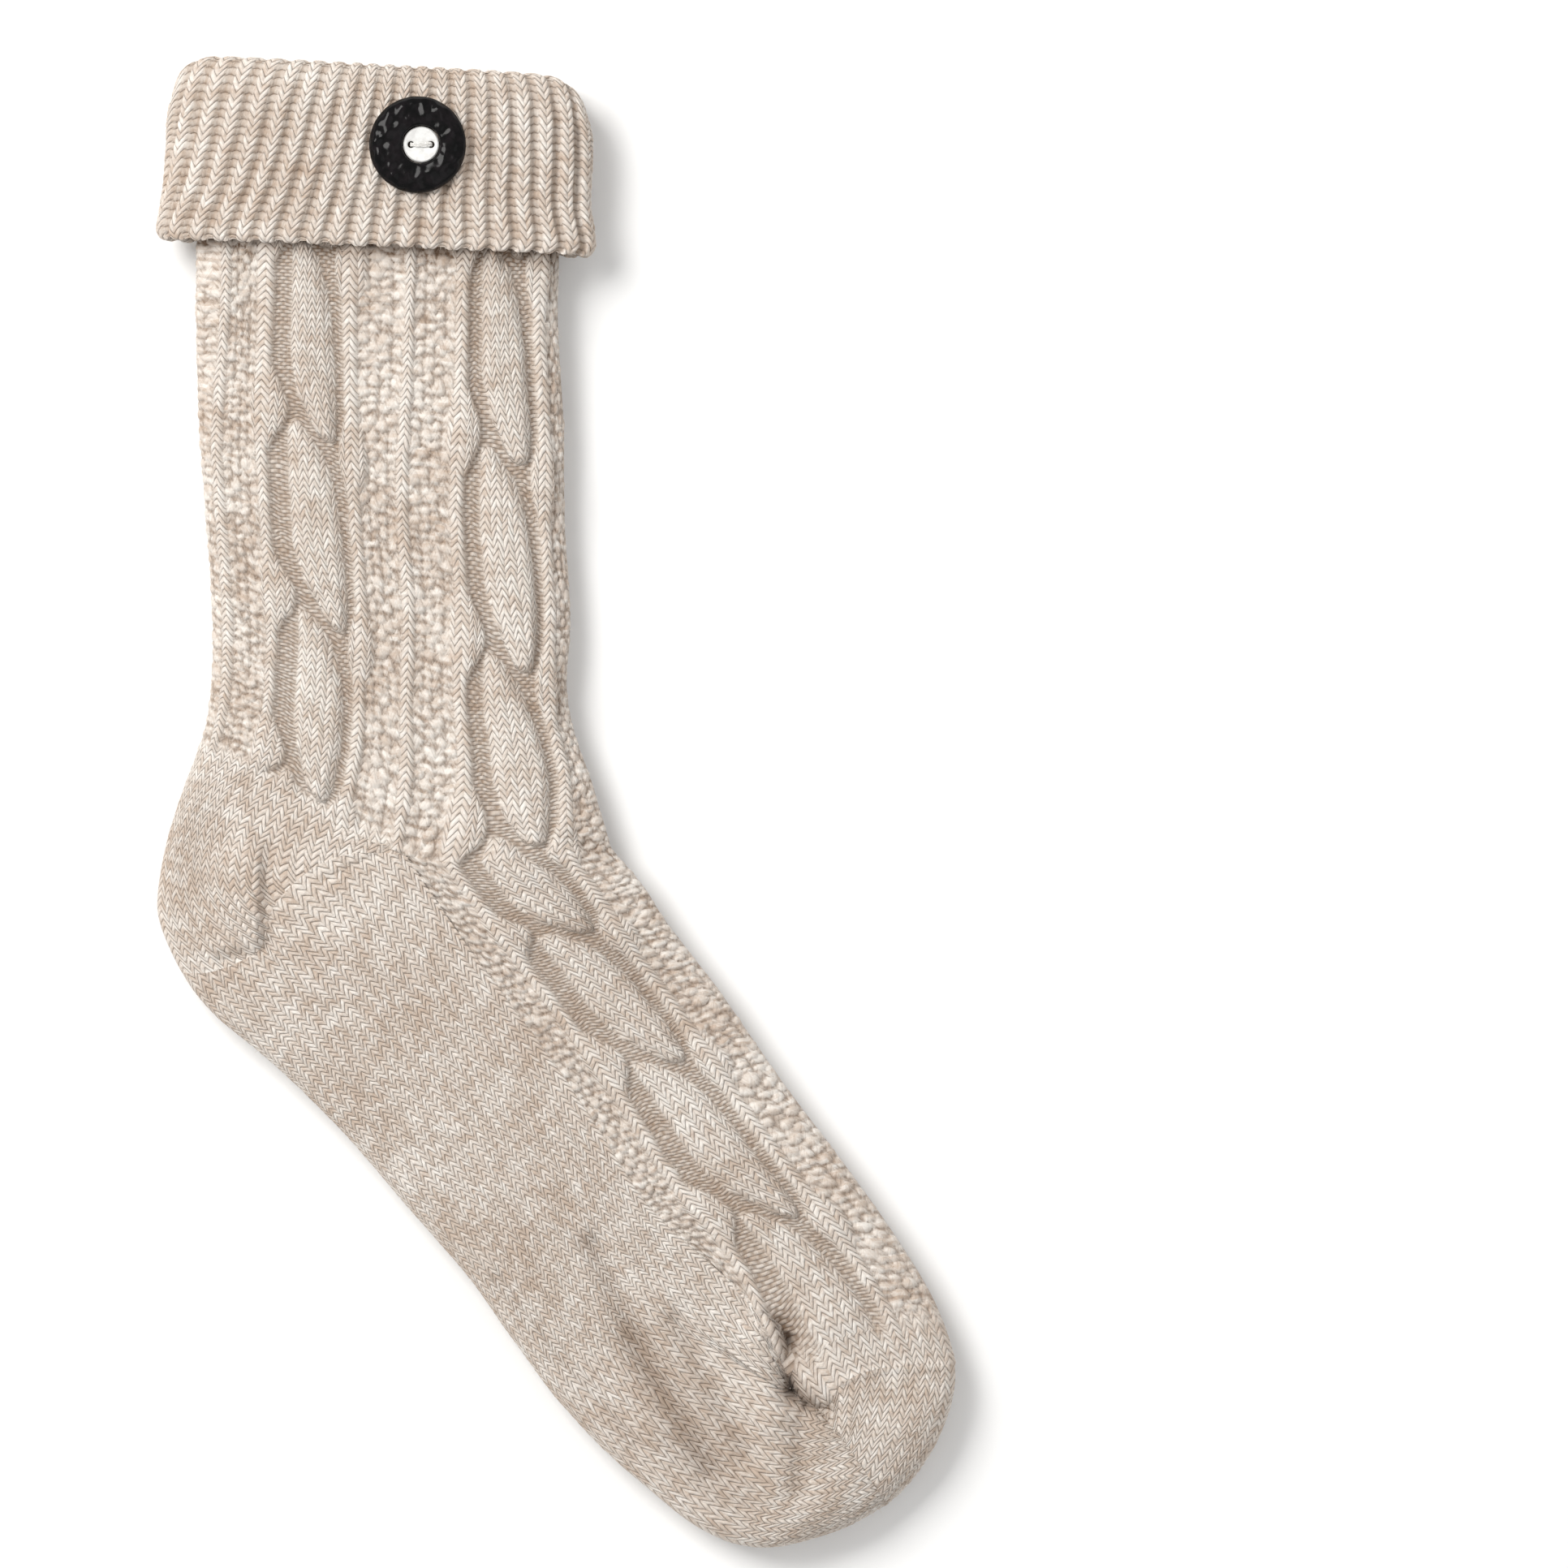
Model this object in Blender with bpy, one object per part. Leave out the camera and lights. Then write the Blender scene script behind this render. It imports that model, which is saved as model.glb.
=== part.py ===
# Folk costume sock, one of a pair, lying flat on its side: leg up (+Y), foot towards +X / -Y, +Z away from the table.
# The frame sits under the middle of the object's box. All tables and dimensions are in millimetres.
import math
import bpy
import bmesh
import numpy as np
from mathutils import Vector
from mathutils.geometry import tessellate_polygon

MM = 0.001
MIDDLE = (0.15, 0.422)   # middle of the object's box in the tables' coordinates, taken off every point

# ---------------------------------------------------------------- driving dimensions
WALL = 2.7              # thickness of the knitted fabric
GAP = 0.3               # clearance between neighbouring pieces
LOW_FULL = 1.15         # the underside is this much fuller than the top, and then lies flat on the table
POW_X, POW_Z = 3.0, 2.3  # fullness of the flattened tube's cross-section
RING_N = 44             # points round each outer ring
RING_IN = 22            # points round each inner ring
SUB = 2                 # outer rings per table interval
TIP = (85.0, -170.4, 4.6)  # point of the toe: x, y, z

# The sock's knitted parts: the section where each starts, and the share of a row that it keeps clear of the part before.
PART_COLUMNS = ("name", "first_section", "clear")
PARTS = (
    ("sock_leg",  "leg_top",    0.0),
    ("sock_heel", "heel_start", 0.03),
    ("sock_foot", "arch_a",     0.04),
    ("sock_toe",  "ball_a",     0.02),
)

# Cross-sections of the sock body from the top of the leg to the toe.
# Each section stands upright on the line from the back (or sole) edge to the front (or instep) edge.
SECTION_COLUMNS = ("name", "back_x", "back_y", "front_x", "front_y", "half_height", "rise")
SECTIONS = (
    ("leg_top",     -88.6,  140.9,   1.0,  140.9,  8.0, 3.8),
    ("leg_upper",   -88.8,  117.9,   0.4,  117.9,  8.0, 1.6),
    ("calf_high",   -88.2,   93.9,   1.8,   93.9,  8.2, 0.3),
    ("calf_mid",    -86.4,   69.9,   2.0,   69.9,  8.2, 0.0),
    ("calf_low",    -84.8,   45.9,   3.4,   45.9,  8.2, 0.0),
    ("leg_narrow",  -85.2,   27.9,   2.6,   27.9,  8.4, 0.0),
    ("heel_start",  -87.4,   15.5,   4.8,   16.3,  8.6, 0.0),
    ("heel_a",      -91.6,    4.3,   8.6,    5.5,  8.8, 0.0),
    ("heel_b",      -95.6,   -8.1,  11.6,   -4.5,  9.0, 0.0),
    ("heel_c",      -98.2,  -22.1,  13.4,  -10.5,  9.2, 0.0),
    ("heel_d",      -97.4,  -30.5,  14.8,  -12.5,  9.3, 0.0),
    ("heel_e",      -92.0,  -42.3,  16.8,  -14.9,  9.3, 0.0),
    ("heel_f",      -84.4,  -52.1,  19.2,  -17.6,  9.3, 0.0),
    ("heel_g",      -73.2,  -61.3,  22.6,  -22.1,  9.2, 0.0),
    ("arch_a",      -61.8,  -71.7,  26.8,  -28.9,  9.1, 0.0),
    ("arch_b",      -49.8,  -84.1,  32.4,  -36.3,  9.0, 0.0),
    ("arch_c",      -37.2,  -98.9,  39.4,  -45.3,  9.0, 0.0),
    ("foot_a",      -22.2, -116.1,  47.8,  -57.3,  9.0, 0.0),
    ("foot_b",      -11.0, -131.7,  57.2,  -70.9,  9.0, 0.0),
    ("foot_c",       -0.4, -146.1,  66.2,  -82.7,  9.1, 0.0),
    ("ball_a",       11.0, -158.7,  75.8,  -95.7,  9.2, 0.0),
    ("ball_b",       23.2, -169.5,  85.2, -109.3,  9.2, 0.0),
    ("toe_a",        34.2, -178.1,  92.8, -122.1,  9.2, 0.0),
    ("toe_b",        44.2, -182.8,  96.8, -132.5,  9.0, 0.0),
    ("toe_c",        53.2, -183.8,  98.6, -140.5,  9.0, 0.0),
    ("toe_d",        63.2, -181.9,  97.5, -149.1,  8.2, 0.0),
    ("toe_e",        72.4, -178.4,  94.0, -158.2,  6.9, 0.0),
    ("toe_f",        80.2, -174.0,  89.4, -165.2,  5.0, 0.0),
)

# Creases and soft folds in the upper layer: a groove (depth > 0) or a ridge (depth < 0) along a line.
FOLD_COLUMNS = ("name", "x0", "y0", "x1", "y1", "depth", "half_width")
FOLDS = (
    ("toe_crease_upper",   55.6, -128.5,  58.4, -146.5,  2.4, 3.6),
    ("toe_crease_lower",   59.5, -147.0,  67.0, -149.6,  2.8, 3.8),
    ("toe_roll",           49.0, -137.0,  54.0, -152.0, -1.2, 6.0),
    ("sole_fold",          21.0, -134.0,  41.0, -164.0,  1.3, 6.5),
    ("sole_fold_low",      28.0, -160.0,  46.0, -172.0,  0.7, 5.0),
    ("ankle_crease",        4.0,   -9.0,  13.5,  -12.0,  1.6, 3.4),
    ("instep_hollow",       0.0,  -20.0,  24.0,  -44.0,  0.8, 7.0),
)

# The heel cup: the rounded pocket of spare fabric at the back of the heel.
CUP_X, CUP_TOP, CUP_BOTTOM = -70.8, -12.0, -40.5   # its front edge, upper and lower limit
CUP_RAISE = 1.3

# ---------------------------------------------------------------- cuff
CUFF_Z = 11.8           # middle height of the cuff
CUFF_CORNER = 4.5       # how far the fold drops at the two side corners
CUFF_CORNER_POW = 12
# Section through the cuff, from the inside lower edge up, over the fold, down the flap and back up inside it.
# half_w, up and low are the ring's half width, its reach above and below the middle; flat is the height it lies flat at.
CUFF_COLUMNS = ("name", "y", "mid_x", "half_w", "up", "low", "flat", "corner", "tilt")
CUFF = (
    ("inside_low",    141.2, -43.8, 42.1,  5.3,  6.5, 6.5, 0.0,  0.000),
    ("inside_mid",    157.0, -43.6, 43.3,  5.3,  6.5, 6.5, 0.0, -0.020),
    ("inside_high",   174.0, -43.4, 44.6,  5.3,  6.5, 6.5, 1.0, -0.050),
    ("fold_in",       180.2, -43.4, 45.7,  6.3,  7.6, 5.4, 1.0, -0.055),
    ("fold_top",      182.6, -43.4, 48.2,  8.5, 10.0, 3.2, 1.0, -0.055),
    ("fold_out",      180.6, -43.4, 50.4, 10.7, 12.2, 1.0, 1.0, -0.055),
    ("flap_high",     174.0, -43.4, 51.8, 11.5, 13.0, 0.0, 1.0, -0.050),
    ("flap_a",        161.0, -43.4, 52.0, 11.6, 13.0, 0.0, 0.0, -0.048),
    ("flap_b",        150.0, -44.0, 52.2, 11.6, 13.0, 0.0, 0.0, -0.044),
    ("flap_low",      140.6, -44.3, 54.0, 11.9, 13.3, 0.0, 0.0, -0.040),
    ("hem_out",       137.6, -44.4, 53.4, 11.6, 13.0, 0.4, 0.0, -0.040),
    ("hem",           136.7, -44.4, 52.2, 10.7, 12.1, 1.2, 0.0, -0.040),
    ("hem_in",        137.6, -44.4, 51.2,  9.6, 11.0, 2.3, 0.0, -0.040),
    ("lining_low",    140.6, -44.3, 51.2,  9.2, 10.6, 2.7, 0.0, -0.040),
    ("lining_mid",    155.0, -43.7, 49.5,  8.9, 10.3, 2.7, 0.0, -0.046),
    ("lining_high",   172.0, -43.4, 49.0,  8.8, 10.2, 2.7, 1.0, -0.050),
    ("fold_under",    176.0, -43.4, 48.2,  8.4,  9.7, 3.2, 1.0, -0.052),
    ("wall_high",     172.0, -43.4, 47.3,  8.0,  9.2, 3.8, 1.0, -0.050),
    ("wall_mid",      157.0, -43.6, 46.0,  8.0,  9.2, 3.8, 0.0, -0.020),
    ("wall_low",      141.2, -43.8, 44.8,  8.0,  9.2, 3.8, 0.0,  0.000),
)

# ---------------------------------------------------------------- button
BUTTON_AT = (-33.6, 161.7)      # middle of the button
BUTTON_BASE = 23.7              # underside, just above the flap
BUTTON_R = 12.0
BUTTON_H = 3.4
BUTTON_BORE_R = 4.7
INLAY_SHIFT = 0.9               # the white middle sits a little towards the front
INLAY_R = 4.4
INLAY_H = 2.2
HOLE_R = 0.85
HOLE_APART = 5.0
THREAD_R = 0.45
BUTTON_SEG = 40
RIM_BUMPS = (("low", 5, 0.16, 0.4), ("high", 13, 0.09, 1.9))   # name, count round the rim, height, phase


def clear_scene():
    for ob in list(bpy.data.objects):
        bpy.data.objects.remove(ob, do_unlink=True)


def make_material(name, rgb, roughness, sheen=0.0, coat=0.0):
    mat = bpy.data.materials.new(name)
    mat.use_nodes = True
    bsdf = mat.node_tree.nodes["Principled BSDF"]
    bsdf.inputs["Base Color"].default_value = (*rgb, 1.0)
    bsdf.inputs["Roughness"].default_value = roughness
    bsdf.inputs["Sheen Weight"].default_value = sheen
    bsdf.inputs["Coat Weight"].default_value = coat
    mat.diffuse_color = (*rgb, 1.0)
    return mat


def make_object(name, verts, faces, material, at=(0.0, 0.0, 0.0), smooth=True):
    """Mesh object whose own origin is at the point "at"."""
    me = bpy.data.meshes.new(name)
    me.from_pydata([tuple((v[i] - at[i]) * MM for i in range(3)) for v in verts], [], faces)
    bm = bmesh.new()
    bm.from_mesh(me)
    bmesh.ops.recalc_face_normals(bm, faces=bm.faces)
    bm.to_mesh(me)
    bm.free()
    me.materials.append(material)
    for poly in me.polygons:
        poly.use_smooth = smooth
    me.update()
    ob = bpy.data.objects.new(name, me)
    ob.location = ((at[0] - MIDDLE[0]) * MM, (at[1] - MIDDLE[1]) * MM, at[2] * MM)
    bpy.context.scene.collection.objects.link(ob)
    return ob


def smooth01(t):
    t = min(1.0, max(0.0, t))
    return t * t * (3 - 2 * t)


def spow(v, p):
    return math.copysign(abs(v) ** p, v)


def section_row(t):
    """Catmull-Rom through the section table; t runs from 0 to the last row."""
    n = len(SECTIONS)
    i = min(int(t), n - 2)
    f = t - i
    rows = [np.array(SECTIONS[min(max(j, 0), n - 1)][1:], float) for j in (i - 1, i, i + 1, i + 2)]
    p0, p1, p2, p3 = rows
    v = 0.5 * ((2 * p1) + (p2 - p0) * f + (2 * p0 - 5 * p1 + 4 * p2 - p3) * f * f
               + (3 * p1 - p0 - 3 * p2 + p3) * f ** 3)
    v[5] = max(v[5], 0.0)
    return v


def cup_height(x, y):
    """Raised heel cup: a rounded step along its front and lower edge that fades towards the back of the heel."""
    front = smooth01((CUP_X + 2.0 - x) / 4.0)
    fade = 1.0 - smooth01((CUP_X - 4.0 - x) / 16.0)
    band = smooth01((CUP_TOP + 3 - y) / 6.0) * smooth01((y - CUP_BOTTOM + 2.0) / 5.0)
    groove = math.exp(-((x - CUP_X - 3.0) / 3.0) ** 2) * band
    return CUP_RAISE * front * fade * band - 0.9 * groove


def fold_height(x, y):
    """Height change of the upper layer by creases and soft folds."""
    h = cup_height(x, y)
    for _, x0, y0, x1, y1, depth, half in FOLDS:
        dx, dy = x1 - x0, y1 - y0
        s = min(1.0, max(0.0, ((x - x0) * dx + (y - y0) * dy) / (dx * dx + dy * dy)))
        d = math.hypot(x - x0 - s * dx, y - y0 - s * dy)
        h -= depth * math.exp(-(d / half) ** 2)
    return h


def body_ring(t, count, inset):
    """One ring of the sock body, inset by the wall thickness for the inner skin."""
    bx, by, fx, fy, half, rise = section_row(t)
    cx, cy = (bx + fx) / 2, (by + fy) / 2
    a = math.hypot(fx - bx, fy - by) / 2
    ux, uy = (fx - bx) / (2 * a), (fy - by) / (2 * a)
    zc = rise + half
    a -= inset
    up = half - inset
    low = half * LOW_FULL - inset
    ring = []
    for k in range(count):
        ang = 2 * math.pi * k / count
        c, s = math.cos(ang), math.sin(ang)
        q = -a * spow(c, 2 / POW_X)
        x, y = cx + ux * q, cy + uy * q
        if s >= 0:
            z = zc + up * spow(s, 2 / POW_Z)
            lift = fold_height(x, y) * min(1.0, s * 1.6) * min(1.0, half / 8.0)
            z += lift
        else:
            z = max(rise + inset, zc + low * spow(s, 2 / POW_Z))
        ring.append((x, y, z))
    return ring


def skin(verts, faces, steps, count, inset, inward):
    """Rings at the given table positions, joined by quads; returns where each ring starts."""
    starts = []
    for t in steps:
        starts.append(len(verts))
        verts += body_ring(t, count, inset)
    for a, b in zip(starts, starts[1:]):
        for k in range(count):
            m = (k + 1) % count
            faces.append((a + m, a + k, b + k, b + m) if inward else (a + k, a + m, b + m, b + k))
    return starts


def close_edge(faces, o, n):
    """The fabric's cut edge: joins an outer ring to the inner ring, two outer points to each inner one."""
    ratio = RING_N // RING_IN
    for k in range(RING_IN):
        m = (k + 1) % RING_IN
        a0 = k * ratio
        for j in range(ratio):
            faces.append((o + (a0 + j) % RING_N, o + (a0 + j + 1) % RING_N, n + (k if j == 0 else m)))
        faces.append((n + k, o + (a0 + 1) % RING_N, n + m))


def build_tube(name, first, clear, end, material):
    """A stretch of the knitted tube, open at both ends; with no end it is the toe cap, closed at the tip."""
    last = len(SECTIONS) - 1
    stop = last if end is None else end
    start = first + clear
    verts, faces = [], []
    outer = skin(verts, faces, [start] + [i / SUB for i in range(first * SUB + 1, stop * SUB + 1)], RING_N, 0.0, False)
    if end is None:
        tip = len(verts)
        verts.append(TIP)
        for k in range(RING_N):
            faces.append((outer[-1] + k, outer[-1] + (k + 1) % RING_N, tip))
        stop = last - 2
    inner = skin(verts, faces, [start] + list(range(first + 1, stop + 1)), RING_IN, WALL, True)
    close_edge(faces, outer[0], inner[0])
    if end is None:
        ring = verts[inner[-1]:inner[-1] + RING_IN]
        mid = [sum(p[j] for p in ring) / RING_IN for j in range(3)]
        centre = len(verts)
        verts.append((mid[0] + 1.6, mid[1] - 1.8, mid[2]))
        for k in range(RING_IN):
            faces.append((inner[-1] + (k + 1) % RING_IN, inner[-1] + k, centre))
    else:
        close_edge(faces, outer[-1], inner[-1])
    return make_object(name, verts, faces, material)


def build_knit(material):
    names = [row[0] for row in SECTIONS]
    firsts = [names.index(part[1]) for part in PARTS]
    for (name, _, clear), first, end in zip(PARTS, firsts, firsts[1:] + [None]):
        build_tube(name, first, clear, end, material)


def cuff_ring(row, count):
    _, y0, mid_x, half_w, up, low, flat, corner, tilt = row
    ring = []
    for k in range(count):
        ang = 2 * math.pi * k / count
        c, s = math.cos(ang), math.sin(ang)
        x = mid_x - half_w * spow(c, 2 / POW_X)
        y = y0 + tilt * (x - mid_x) - corner * CUFF_CORNER * abs(c) ** CUFF_CORNER_POW
        if s >= 0:
            z = CUFF_Z + up * spow(s, 2 / POW_Z)
        else:
            z = max(flat, CUFF_Z + low * spow(s, 2 / POW_Z))
        ring.append((x, y, z))
    return ring


def build_cuff(material):
    verts, faces, rings = [], [], []
    for row in CUFF:
        rings.append(len(verts))
        verts += cuff_ring(row, RING_N)
    for i, a in enumerate(rings):
        b = rings[(i + 1) % len(rings)]
        for k in range(RING_N):
            m = (k + 1) % RING_N
            faces.append((a + k, a + m, b + m, b + k))
    return make_object("rib_cuff", verts, faces, material)


def rim_wave(ang):
    return sum(h * math.sin(n * ang + ph) for _, n, h, ph in RIM_BUMPS)


def build_button_rim(material):
    """Domed ring with an uneven, hammered edge and a stepped bore for the white middle."""
    profile = (  # radius, height, share of the unevenness; bore radii are measured from the inlay's middle
        ("bore_low", BUTTON_BORE_R, 0.0, 0.0), ("bore_top", BUTTON_BORE_R, BUTTON_H - 0.9, 0.3),
        ("lip", BUTTON_BORE_R + 0.7, BUTTON_H - 0.25, 0.6), ("crown", 8.2, BUTTON_H, 1.0),
        ("shoulder", 10.6, BUTTON_H - 0.35, 1.4), ("edge_up", 11.7, BUTTON_H - 1.25, 1.0),
        ("edge", BUTTON_R, BUTTON_H - 2.1, 0.5), ("edge_low", 11.4, 0.5, 0.0), ("foot", 10.4, 0.0, 0.0))
    verts, faces = [], []
    n = BUTTON_SEG
    for name, r, z, share in profile:
        shift = INLAY_SHIFT if name in ("bore_low", "bore_top") else (INLAY_SHIFT * 0.8 if name == "lip" else 0.0)
        for k in range(n):
            ang = 2 * math.pi * k / n
            w = rim_wave(ang) * share
            rr = r + (0.35 * w if r > 10 else 0.0)
            verts.append((BUTTON_AT[0] + shift + rr * math.cos(ang), BUTTON_AT[1] + rr * math.sin(ang),
                          BUTTON_BASE + z + w))
    rows = len(profile)
    for i in range(rows):
        j = (i + 1) % rows
        for k in range(n):
            m = (k + 1) % n
            faces.append((i * n + k, i * n + m, j * n + m, j * n + k))
    return make_object("button_rim", verts, faces, material, at=(*BUTTON_AT, BUTTON_BASE))


def build_button_centre(material):
    """White disc with two thread holes."""
    cx, cy = BUTTON_AT[0] + INLAY_SHIFT, BUTTON_AT[1]
    loops = [[(cx + INLAY_R * math.cos(2 * math.pi * k / 32), cy + INLAY_R * math.sin(2 * math.pi * k / 32))
              for k in range(32)]]
    for side in (-1, 1):
        hx = cx + side * HOLE_APART / 2
        loops.append([(hx + HOLE_R * math.cos(2 * math.pi * k / 14), cy + HOLE_R * math.sin(2 * math.pi * k / 14))
                      for k in range(14)])
    tris = tessellate_polygon([[Vector((x, y, 0)) for x, y in lp] for lp in loops])
    flat = [p for lp in loops for p in lp]
    n = len(flat)
    z0, z1 = BUTTON_BASE + 0.1, BUTTON_BASE + INLAY_H
    verts = [(x, y, z0) for x, y in flat] + [(x, y, z1) for x, y in flat]
    faces = []
    for tri in tris:
        faces.append(tuple(tri))
        faces.append(tuple(i + n for i in reversed(tri)))
    start = 0
    for lp in loops:
        m = len(lp)
        for k in range(m):
            a, b = start + k, start + (k + 1) % m
            faces.append((a, b, b + n, a + n))
        start += m
    return make_object("button_centre", verts, faces, material, at=(cx, cy, BUTTON_BASE), smooth=False)


def build_thread(material):
    """A staple of thread: across the white middle and down through both holes."""
    cx, cy = BUTTON_AT[0] + INLAY_SHIFT, BUTTON_AT[1]
    h = HOLE_APART / 2
    z_low, z_top = BUTTON_BASE + 0.1, BUTTON_BASE + INLAY_H + GAP + THREAD_R
    path = [(-h, z_low), (-h, z_top - 0.55), (-h + 0.25, z_top - 0.12), (-h + 0.7, z_top), (0, z_top + 0.12),
            (h - 0.7, z_top), (h - 0.25, z_top - 0.12), (h, z_top - 0.55), (h, z_low)]
    seg = 8
    verts, faces = [], []
    for i, (px, pz) in enumerate(path):
        a = path[max(i - 1, 0)]
        b = path[min(i + 1, len(path) - 1)]
        tx, tz = b[0] - a[0], b[1] - a[1]
        ln = math.hypot(tx, tz)
        nx, nz = -tz / ln, tx / ln
        for k in range(seg):
            ang = 2 * math.pi * k / seg
            c, s = THREAD_R * math.cos(ang), THREAD_R * math.sin(ang)
            verts.append((cx + px + nx * c, cy + s, pz + nz * c))
    for i in range(len(path) - 1):
        for k in range(seg):
            m = (k + 1) % seg
            faces.append((i * seg + k, i * seg + m, (i + 1) * seg + m, (i + 1) * seg + k))
    faces.append(tuple(range(seg)))
    faces.append(tuple((len(path) - 1) * seg + k for k in reversed(range(seg))))
    return make_object("button_thread", verts, faces, material, at=(cx, cy, BUTTON_BASE))


def main():
    clear_scene()
    wool = make_material("wool", (0.66, 0.57, 0.49), 0.95, sheen=0.3)
    rib = make_material("rib_wool", (0.64, 0.55, 0.47), 0.95, sheen=0.3)
    black = make_material("button_black", (0.012, 0.011, 0.012), 0.12, coat=0.6)
    white = make_material("button_white", (0.82, 0.82, 0.80), 0.3)
    thread = make_material("thread", (0.86, 0.84, 0.80), 0.8)
    build_knit(wool)
    build_cuff(rib)
    build_button_rim(black)
    build_button_centre(white)
    build_thread(thread)


main()
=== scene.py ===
# Looks of the folk costume sock: heather wool knit with its stitches, lens cables, moss panels and ribs, and a glossy button.
# Tables and lengths are in millimetres in the sock's own drawing coordinates; MIDDLE moves them into the object's frame.
import math
import bpy
import numpy as np
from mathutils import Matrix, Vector


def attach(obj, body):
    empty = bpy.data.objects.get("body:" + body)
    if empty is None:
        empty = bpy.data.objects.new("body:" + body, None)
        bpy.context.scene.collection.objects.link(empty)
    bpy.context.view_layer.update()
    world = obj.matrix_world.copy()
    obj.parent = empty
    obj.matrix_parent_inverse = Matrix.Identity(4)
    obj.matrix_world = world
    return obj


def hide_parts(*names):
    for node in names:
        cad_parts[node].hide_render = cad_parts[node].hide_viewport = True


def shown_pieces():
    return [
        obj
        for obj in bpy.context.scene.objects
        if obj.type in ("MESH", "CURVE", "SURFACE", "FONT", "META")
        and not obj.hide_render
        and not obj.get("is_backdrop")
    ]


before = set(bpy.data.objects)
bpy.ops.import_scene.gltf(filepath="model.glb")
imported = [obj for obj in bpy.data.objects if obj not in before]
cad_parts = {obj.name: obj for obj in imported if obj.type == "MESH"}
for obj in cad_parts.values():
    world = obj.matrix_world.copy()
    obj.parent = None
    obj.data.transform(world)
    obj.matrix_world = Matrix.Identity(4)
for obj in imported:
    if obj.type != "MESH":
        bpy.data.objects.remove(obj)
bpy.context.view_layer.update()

MM = 0.001
MIDDLE = (0.15, 0.422)

# ---------------------------------------------------------------- shape of the flat sock
POW_X, POW_Z = 3.0, 2.3
LOW_FULL = 1.15
INSET = 0.55           # the knit's ground lies this far inside the outer skin, and the stitches stand on it
# Each section stands upright on the line from the back (or sole) edge to the front (or instep) edge.
SECTION_COLUMNS = ("name", "back_x", "back_y", "front_x", "front_y", "half_height", "rise")
SECTIONS = (
    ("leg_top",     -88.6,  140.9,   1.0,  140.9,  8.0, 3.8),
    ("leg_upper",   -88.8,  117.9,   0.4,  117.9,  8.0, 1.6),
    ("calf_high",   -88.2,   93.9,   1.8,   93.9,  8.2, 0.3),
    ("calf_mid",    -86.4,   69.9,   2.0,   69.9,  8.2, 0.0),
    ("calf_low",    -84.8,   45.9,   3.4,   45.9,  8.2, 0.0),
    ("leg_narrow",  -85.2,   27.9,   2.6,   27.9,  8.4, 0.0),
    ("heel_start",  -87.4,   15.5,   4.8,   16.3,  8.6, 0.0),
    ("heel_a",      -91.6,    4.3,   8.6,    5.5,  8.8, 0.0),
    ("heel_b",      -95.6,   -8.1,  11.6,   -4.5,  9.0, 0.0),
    ("heel_c",      -98.2,  -22.1,  13.4,  -10.5,  9.2, 0.0),
    ("heel_d",      -97.4,  -30.5,  14.8,  -12.5,  9.3, 0.0),
    ("heel_e",      -92.0,  -42.3,  16.8,  -14.9,  9.3, 0.0),
    ("heel_f",      -84.4,  -52.1,  19.2,  -17.6,  9.3, 0.0),
    ("heel_g",      -73.2,  -61.3,  22.6,  -22.1,  9.2, 0.0),
    ("arch_a",      -61.8,  -71.7,  26.8,  -28.9,  9.1, 0.0),
    ("arch_b",      -49.8,  -84.1,  32.4,  -36.3,  9.0, 0.0),
    ("arch_c",      -37.2,  -98.9,  39.4,  -45.3,  9.0, 0.0),
    ("foot_a",      -22.2, -116.1,  47.8,  -57.3,  9.0, 0.0),
    ("foot_b",      -11.0, -131.7,  57.2,  -70.9,  9.0, 0.0),
    ("foot_c",       -0.4, -146.1,  66.2,  -82.7,  9.1, 0.0),
    ("ball_a",       11.0, -158.7,  75.8,  -95.7,  9.2, 0.0),
    ("ball_b",       23.2, -169.5,  85.2, -109.3,  9.2, 0.0),
    ("toe_a",        34.2, -178.1,  92.8, -122.1,  9.2, 0.0),
    ("toe_b",        44.2, -182.8,  96.8, -132.5,  9.0, 0.0),
    ("toe_c",        53.2, -183.8,  98.6, -140.5,  9.0, 0.0),
    ("toe_d",        63.2, -181.9,  97.5, -149.1,  8.2, 0.0),
    ("toe_e",        72.4, -178.4,  94.0, -158.2,  6.9, 0.0),
    ("toe_f",        80.2, -174.0,  89.4, -165.2,  5.0, 0.0),
    ("toe_tip",      84.2, -171.3,  86.2, -169.2,  3.0, 0.0),
)
FOLD_COLUMNS = ("name", "x0", "y0", "x1", "y1", "depth", "half_width")
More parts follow.
